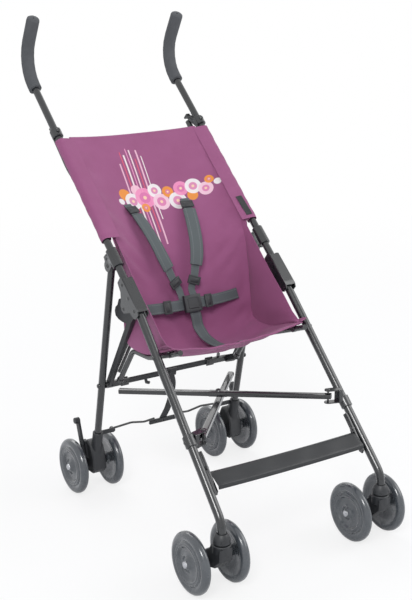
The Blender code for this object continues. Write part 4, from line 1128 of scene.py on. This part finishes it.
@dataclass
class Harness:
    """Five-point harness: bands, pads, adjusters and buckle."""

    sling: SeatSling
    band: float = 0.0210
    thick: float = 0.0018
    rest: float = 0.0024
    facing: tuple = (0, -1, 0.35)
    half_columns: int = 4
    refined: int = 8
    slider: tuple = (0.0300, 0.0190, 0.0030)
    slider_lift: float = 0.0042
    buckle_size: tuple = (0.0420, 0.0380, 0.0095)
    buckle_row: float = 6.25
    buckle_lift: float = 0.0276
    buckle_ahead: float = 0.0078

    def lifted(self, row: float, u: float, lift: float) -> Vector:
        """Point above the cloth."""
        return self.sling.point(row, u) + self.sling.out(row, u) * (self.rest + lift)

    def ribbon(self, name: str, points: Sequence[Vector], outs: Sequence[Vector], widths: Sequence[float],
               thick: float, crown: float = 0.0) -> Piece:
        """Flat band along points.

        Args:
            name: the piece's name.
            points: the middle line of the band's lower face.
            outs: the direction out of the band at each point.
            widths: the band's width at each point.
            thick: the band's thickness.
            crown: extra height in the middle of its width.

        Returns:
            The finished band.
        """
        points, outs, widths = self.refine(points, outs, widths)
        grid, run = Grid(), 0.0
        for k, p in enumerate(points):
            before, after = points[max(k - 1, 0)], points[min(k + 1, len(points) - 1)]
            across = (after - before).cross(outs[k]).normalized()
            run += (p - before).length
            grid.start_row()
            for j in range(2 * self.half_columns + 1):
                g = j / self.half_columns - 1
                rise = crown * (1 - abs(g) ** 3)
                sideways = g * widths[k] / 2
                grid.add(p + across * sideways + outs[k] * (thick / 2 + rise), (sideways, run))
        return grid.skin(name, thick, Finish.BAND, thick * 0.25)

    def refine(self, points: Sequence[Vector], outs: Sequence[Vector],
               widths: Sequence[float]) -> tuple[list, list, list]:
        """Rounds a coarse route into a smooth one.

        Args:
            points: the route.
            outs: the direction out at each point.
            widths: the width at each point.

        Returns:
            The same three, finer.
        """
        fine, normals, sizes = [], [], []
        last = len(points) - 1
        for k in range(last * self.refined + 1):
            i = min(k // self.refined, last - 1)
            t = k / self.refined - i
            fine.append(between(points, k / self.refined))
            normals.append(outs[i].lerp(outs[i + 1], t).normalized())
            sizes.append(widths[i] + (widths[i + 1] - widths[i]) * t)
        return fine, normals, sizes

    def build(self) -> None:
        """Makes every strap, then the buckle."""
        for side, tag in SIDES:
            self.shoulder(side, tag)
        self.waist()
        self.crotch()
        self.buckle()

    def shoulder(self, side: int, tag: str) -> None:
        """Shoulder band with its pad and its two adjusters.

        Args:
            side: -1 on the left and 1 on the right.
            tag: the side's letter in names.
        """
        u0 = -0.52 if side < 0 else 0.40
        u1 = -0.10 if side < 0 else 0.10
        stops = [2.30, 2.7, 3.2, 3.8, 4.3, 4.7, 5.2, 5.6, 5.95, 6.2]
        points, outs = [], []
        for k, row in enumerate(stops):
            f = min(1.0, k / 7)
            u = u0 + (u1 - u0) * f ** 1.3
            rise = 0.0016 + 0.012 * math.sin(math.pi * f) + 0.012 * f
            rise += (0.0, 0.0060, 0.0100)[max(0, k - 7)]
            if k == 0:
                rise = -0.0010
            points.append(self.lifted(row, u, rise))
            outs.append(self.sling.out(row, u))
        widths = [self.band] * 5 + [0.0200, 0.0180, 0.0165, 0.0165, 0.0165]
        band = self.ribbon(f"shoulder_band_{tag}", points, outs, widths, self.thick)
        gather(band, f"shoulder_strap_{tag}", slot="webbing")
        pad_points = [p + n * 0.0014 for p, n in zip(points[1:6], outs[1:6])]
        pad_widths = [0.0290, 0.0305, 0.0305, 0.0305, 0.0285]
        pad = self.ribbon(f"shoulder_pad_{tag}", pad_points, outs[1:6], pad_widths, 0.0036, 0.0016)
        gather(pad, slot="webbing")
        for k, where in ((0, 0.55), (6, 0.2)):
            spot = points[k].lerp(points[k + 1], where)
            self.adjuster(f"strap_slider_{tag}_{k}", spot, outs[k], points[k + 1] - points[k])

    def adjuster(self, name: str, spot: Vector, out: Vector, along: Vector) -> None:
        """Moulded slider that the band threads through.

        Args:
            name: the piece's name.
            spot: where it sits on the band.
            out: the direction out of the band.
            along: the band's direction.
        """
        clip = cube(name, self.slider)
        bpy.ops.mesh.bevel(offset=0.0009, segments=2)
        press_top(clip, 0.9, 0.0002, ((0.0032, -0.0008), (0.0012, 0.0010)))
        y = along.normalized()
        x = y.cross(out).normalized()
        clip.data.transform(turned(x, y, x.cross(y), spot + out * self.slider_lift))
        settle(clip, 40.0)
        dress(clip, Finish.PLASTIC)
        gather(clip, slot="plastic")

    def waist(self) -> None:
        """Waist band behind the buckle, with a slider on each side."""
        us = [-0.84, -0.68, -0.45, -0.22, 0.0, 0.22, 0.45, 0.66, 0.80]
        out = Vector(self.facing).normalized()
        points = []
        for u in us:
            f = 1 - (u / 0.84) ** 2
            points.append(self.lifted(6.6 - 0.35 * f, u, 0.0016 + 0.026 * f))
        band = self.ribbon("waist_band", points, [out] * len(points), [0.0240] * len(points), self.thick)
        gather(band, "waist_strap", slot="webbing")
        for k in (2, 5):
            spot = points[k].lerp(points[k + 1], 0.3)
            self.adjuster(f"waist_slider_{k}", spot, out, points[k + 1] - points[k])

    def crotch(self) -> None:
        """Band from the buckle down and forward to the seat's front edge."""
        stops = [(6.5, 0.0300), (6.9, 0.0290), (7.5, 0.022), (8.3, 0.022), (9.0, 0.018), (9.8, 0.012),
                 (10.6, 0.006), (11.4, 0.002), (11.8, 0.001)]
        points = [self.lifted(row, 0.02 + 0.018 * k, lift) for k, (row, lift) in enumerate(stops)]
        outs = [self.sling.out(row, 0.03) for row, _ in stops]
        band = self.ribbon("crotch_band", points, outs, [0.0270] * len(points), 0.0020)
        gather(band, "crotch_strap", slot="webbing")

    def buckle(self) -> None:
        """Buckle body with its pressed-in face and release button."""
        out = Vector(self.facing).normalized()
        centre = self.lifted(self.buckle_row, 0.0, self.buckle_lift) + out * self.buckle_ahead
        x = Vector((1, 0, 0))
        body = cube("buckle_body", self.buckle_size)
        bpy.ops.mesh.select_all(action="DESELECT")
        bm = bmesh.from_edit_mesh(body.data)
        for edge in bm.edges:
            a, b = (v.co for v in edge.verts)
            edge.select = abs(a.z - b.z) > 0.001
        bmesh.update_edit_mesh(body.data)
        bpy.ops.mesh.bevel(offset=0.0100, segments=5)
        bpy.ops.mesh.select_all(action="SELECT")
        bpy.ops.mesh.bevel(offset=0.0012, segments=2, affect="EDGES")
        press_top(body, 0.99, 0.0005, ((0.0060, -0.0008), (0.0015, 0.0014)))
        body.data.transform(turned(x, out.cross(x), out, centre))
        settle(body, 40.0)
        dress(body, Finish.PLASTIC)
        gather(body, "harness_buckle", slot="plastic")


# The footrest

@dataclass
class Footrest:
    """Flexible strip between the two side plates."""

    rear: tuple = (-0.230, 0.2260)
    front: tuple = (-0.268, 0.2060)
    half: float = 0.1800
    thick: float = 0.0022
    soften: float = 0.0006
    cuts: tuple = (40, 16)
    rise: float = 0.0012
    sag: float = 0.0022
    edge_drop: float = 0.0050

    def build(self) -> None:
        """Makes the strip with its folded front and back edges."""
        start = Vector((0, self.rear[0] - DEPTH_SHIFT, self.rear[1]))
        end = Vector((0, self.front[0] - DEPTH_SHIFT, self.front[1]))
        across = (end - start).normalized()
        up = Vector((1, 0, 0)).cross(across)
        if up.z < 0:
            up = -up
        width = (end - start).length
        grid = Grid()
        cuts, columns = self.cuts
        for k in range(cuts + 1):
            f = k / cuts
            x = -self.half + 2 * self.half * f
            dip = self.sag * (1 - (x / self.half) ** 2)
            grid.start_row()
            for j in range(columns + 1):
                g = j / columns
                wave = 0.0006 * math.sin(26 * f) * math.sin(math.pi * g)
                drop = self.edge_drop * (smoothstep(0.86, 1.0, g) + 0.6 * smoothstep(0.12, 0.0, g))
                p = start + across * (width * g) + up * (self.rise + wave - drop) - Vector((0, 0, dip))
                grid.add(Vector((x, p.y, p.z)), (x, g * width))
        strip = grid.sheet("footrest_strip")
        give_wall(strip, self.thick, soften=self.soften)
        dress(strip, Finish.FOOT)
        gather(strip, "footrest", slot="strip")


# The studio

@dataclass
class Studio:
    """Pale floor, soft lamps and the camera at the photograph's angle."""

    eye: tuple = (-1.3020, -1.9602 - DEPTH_SHIFT, 1.1857)
    heading: float = -32.806
    pitch: float = 16.554
    focal: float = 69.76
    sensor: float = 36.0
    aim: tuple = (0, 0, 0.45)
    lamps: tuple = (
        ((-2.2, -2.6, 3.0), 1.3, 88.0), ((2.8, -1.6, 2.4), 2.6, 50.0), ((0.4, 2.6, 3.0), 2.2, 42.0))
    floor_size: float = 160.0
    floor_drop: float = 0.0005
    floor_tone: tuple = (0.86, 0.86, 0.86)
    floor_white: tuple = (0.90, 3.2)
    floor_glow: tuple = (0.76, 0.24)
    world_tone: tuple = (0.92, 0.95, 1.0, 1.0)
    world_light: float = 0.55

    def build(self) -> None:
        """Sets the floor, the world, the lamps and the camera."""
        scene = bpy.context.scene
        scene.view_settings.view_transform = "Standard"
        self.floor()
        self.world(scene)
        for k, (place, size, power) in enumerate(self.lamps):
            data = bpy.data.lights.new(f"lamp_{k}", "AREA")
            data.size, data.energy = size, power
            lamp = add(f"lamp_{k}", data)
            lamp.location = place
            lamp.rotation_euler = (Vector(self.aim) - Vector(place)).to_track_quat("-Z", "Y").to_euler()
        data = bpy.data.cameras.new("camera")
        data.lens = self.focal
        data.sensor_width = self.sensor
        camera = add("camera", data)
        camera.location = self.eye
        camera.rotation_euler = (math.radians(90 - self.pitch), 0, math.radians(self.heading))
        scene.camera = camera
        LOG.info("studio ready")

    def floor(self) -> None:
        """Pale floor that the camera sees as the photograph's white."""
        start_clean()
        bpy.ops.mesh.primitive_plane_add(size=self.floor_size, location=(0, 0, -self.floor_drop))
        ground = bpy.context.object
        ground.name = "studio_floor"
        shade = Shade("pale_floor", 0.9)
        shade.colour(self.floor_tone)
        x, y, _ = shade.axes()
        away = ((x * x + y * y) ** 0.5).soft(*self.floor_white)
        path = shade.node("ShaderNodeLightPath")
        seen = Term(shade.tree, path.outputs["Is Camera Ray"])
        glow = shade.node("ShaderNodeEmission", Color=(1, 1, 1, 1), Strength=1.0)
        mix = shade.node("ShaderNodeMixShader")
        output = shade.tree.nodes["Material Output"]
        near, far = self.floor_glow
        for place, value in enumerate((seen * (near + away * far), shade.shader.outputs[0], glow.outputs[0])):
            feed(shade.tree, mix.inputs[place], value)
        shade.tree.links.new(mix.outputs[0], output.inputs["Surface"])
        ground.data.materials.append(shade.material)

    def world(self, scene: bpy.types.Scene) -> None:
        """Plain light all round, white to the camera.

        Args:
            scene: the scene that it lights.
        """
        world = bpy.data.worlds.new("studio_world")
        world.use_nodes = True
        tree = world.node_tree
        back = tree.nodes["Background"]
        path = tree.nodes.new("ShaderNodeLightPath")
        white = tree.nodes.new("ShaderNodeBackground")
        mix = tree.nodes.new("ShaderNodeMixShader")
        back.inputs[0].default_value = self.world_tone
        back.inputs[1].default_value = self.world_light
        white.inputs[0].default_value = (1, 1, 1, 1)
        white.inputs[1].default_value = 1.0
        seen, mirrored = (Term(tree, path.outputs[kind]) for kind in ("Is Camera Ray", "Is Glossy Ray"))
        feed(tree, mix.inputs[0], seen.larger(mirrored))
        tree.links.new(back.outputs[0], mix.inputs[1])
        tree.links.new(white.outputs[0], mix.inputs[2])
        tree.links.new(mix.outputs[0], tree.nodes["World Output"].inputs[0])
        scene.world = world


def main() -> None:
    """Builds the stroller's pieces in order."""
    logging.basicConfig(level=logging.INFO, format="%(message)s")
    Studio().build()
    RigidFrame().build()
    Wheels().build()
    sling = SeatSling()
    sling.build()
    Harness(sling).build()
    Footrest().build()


if __name__ == "__main__":
    main()
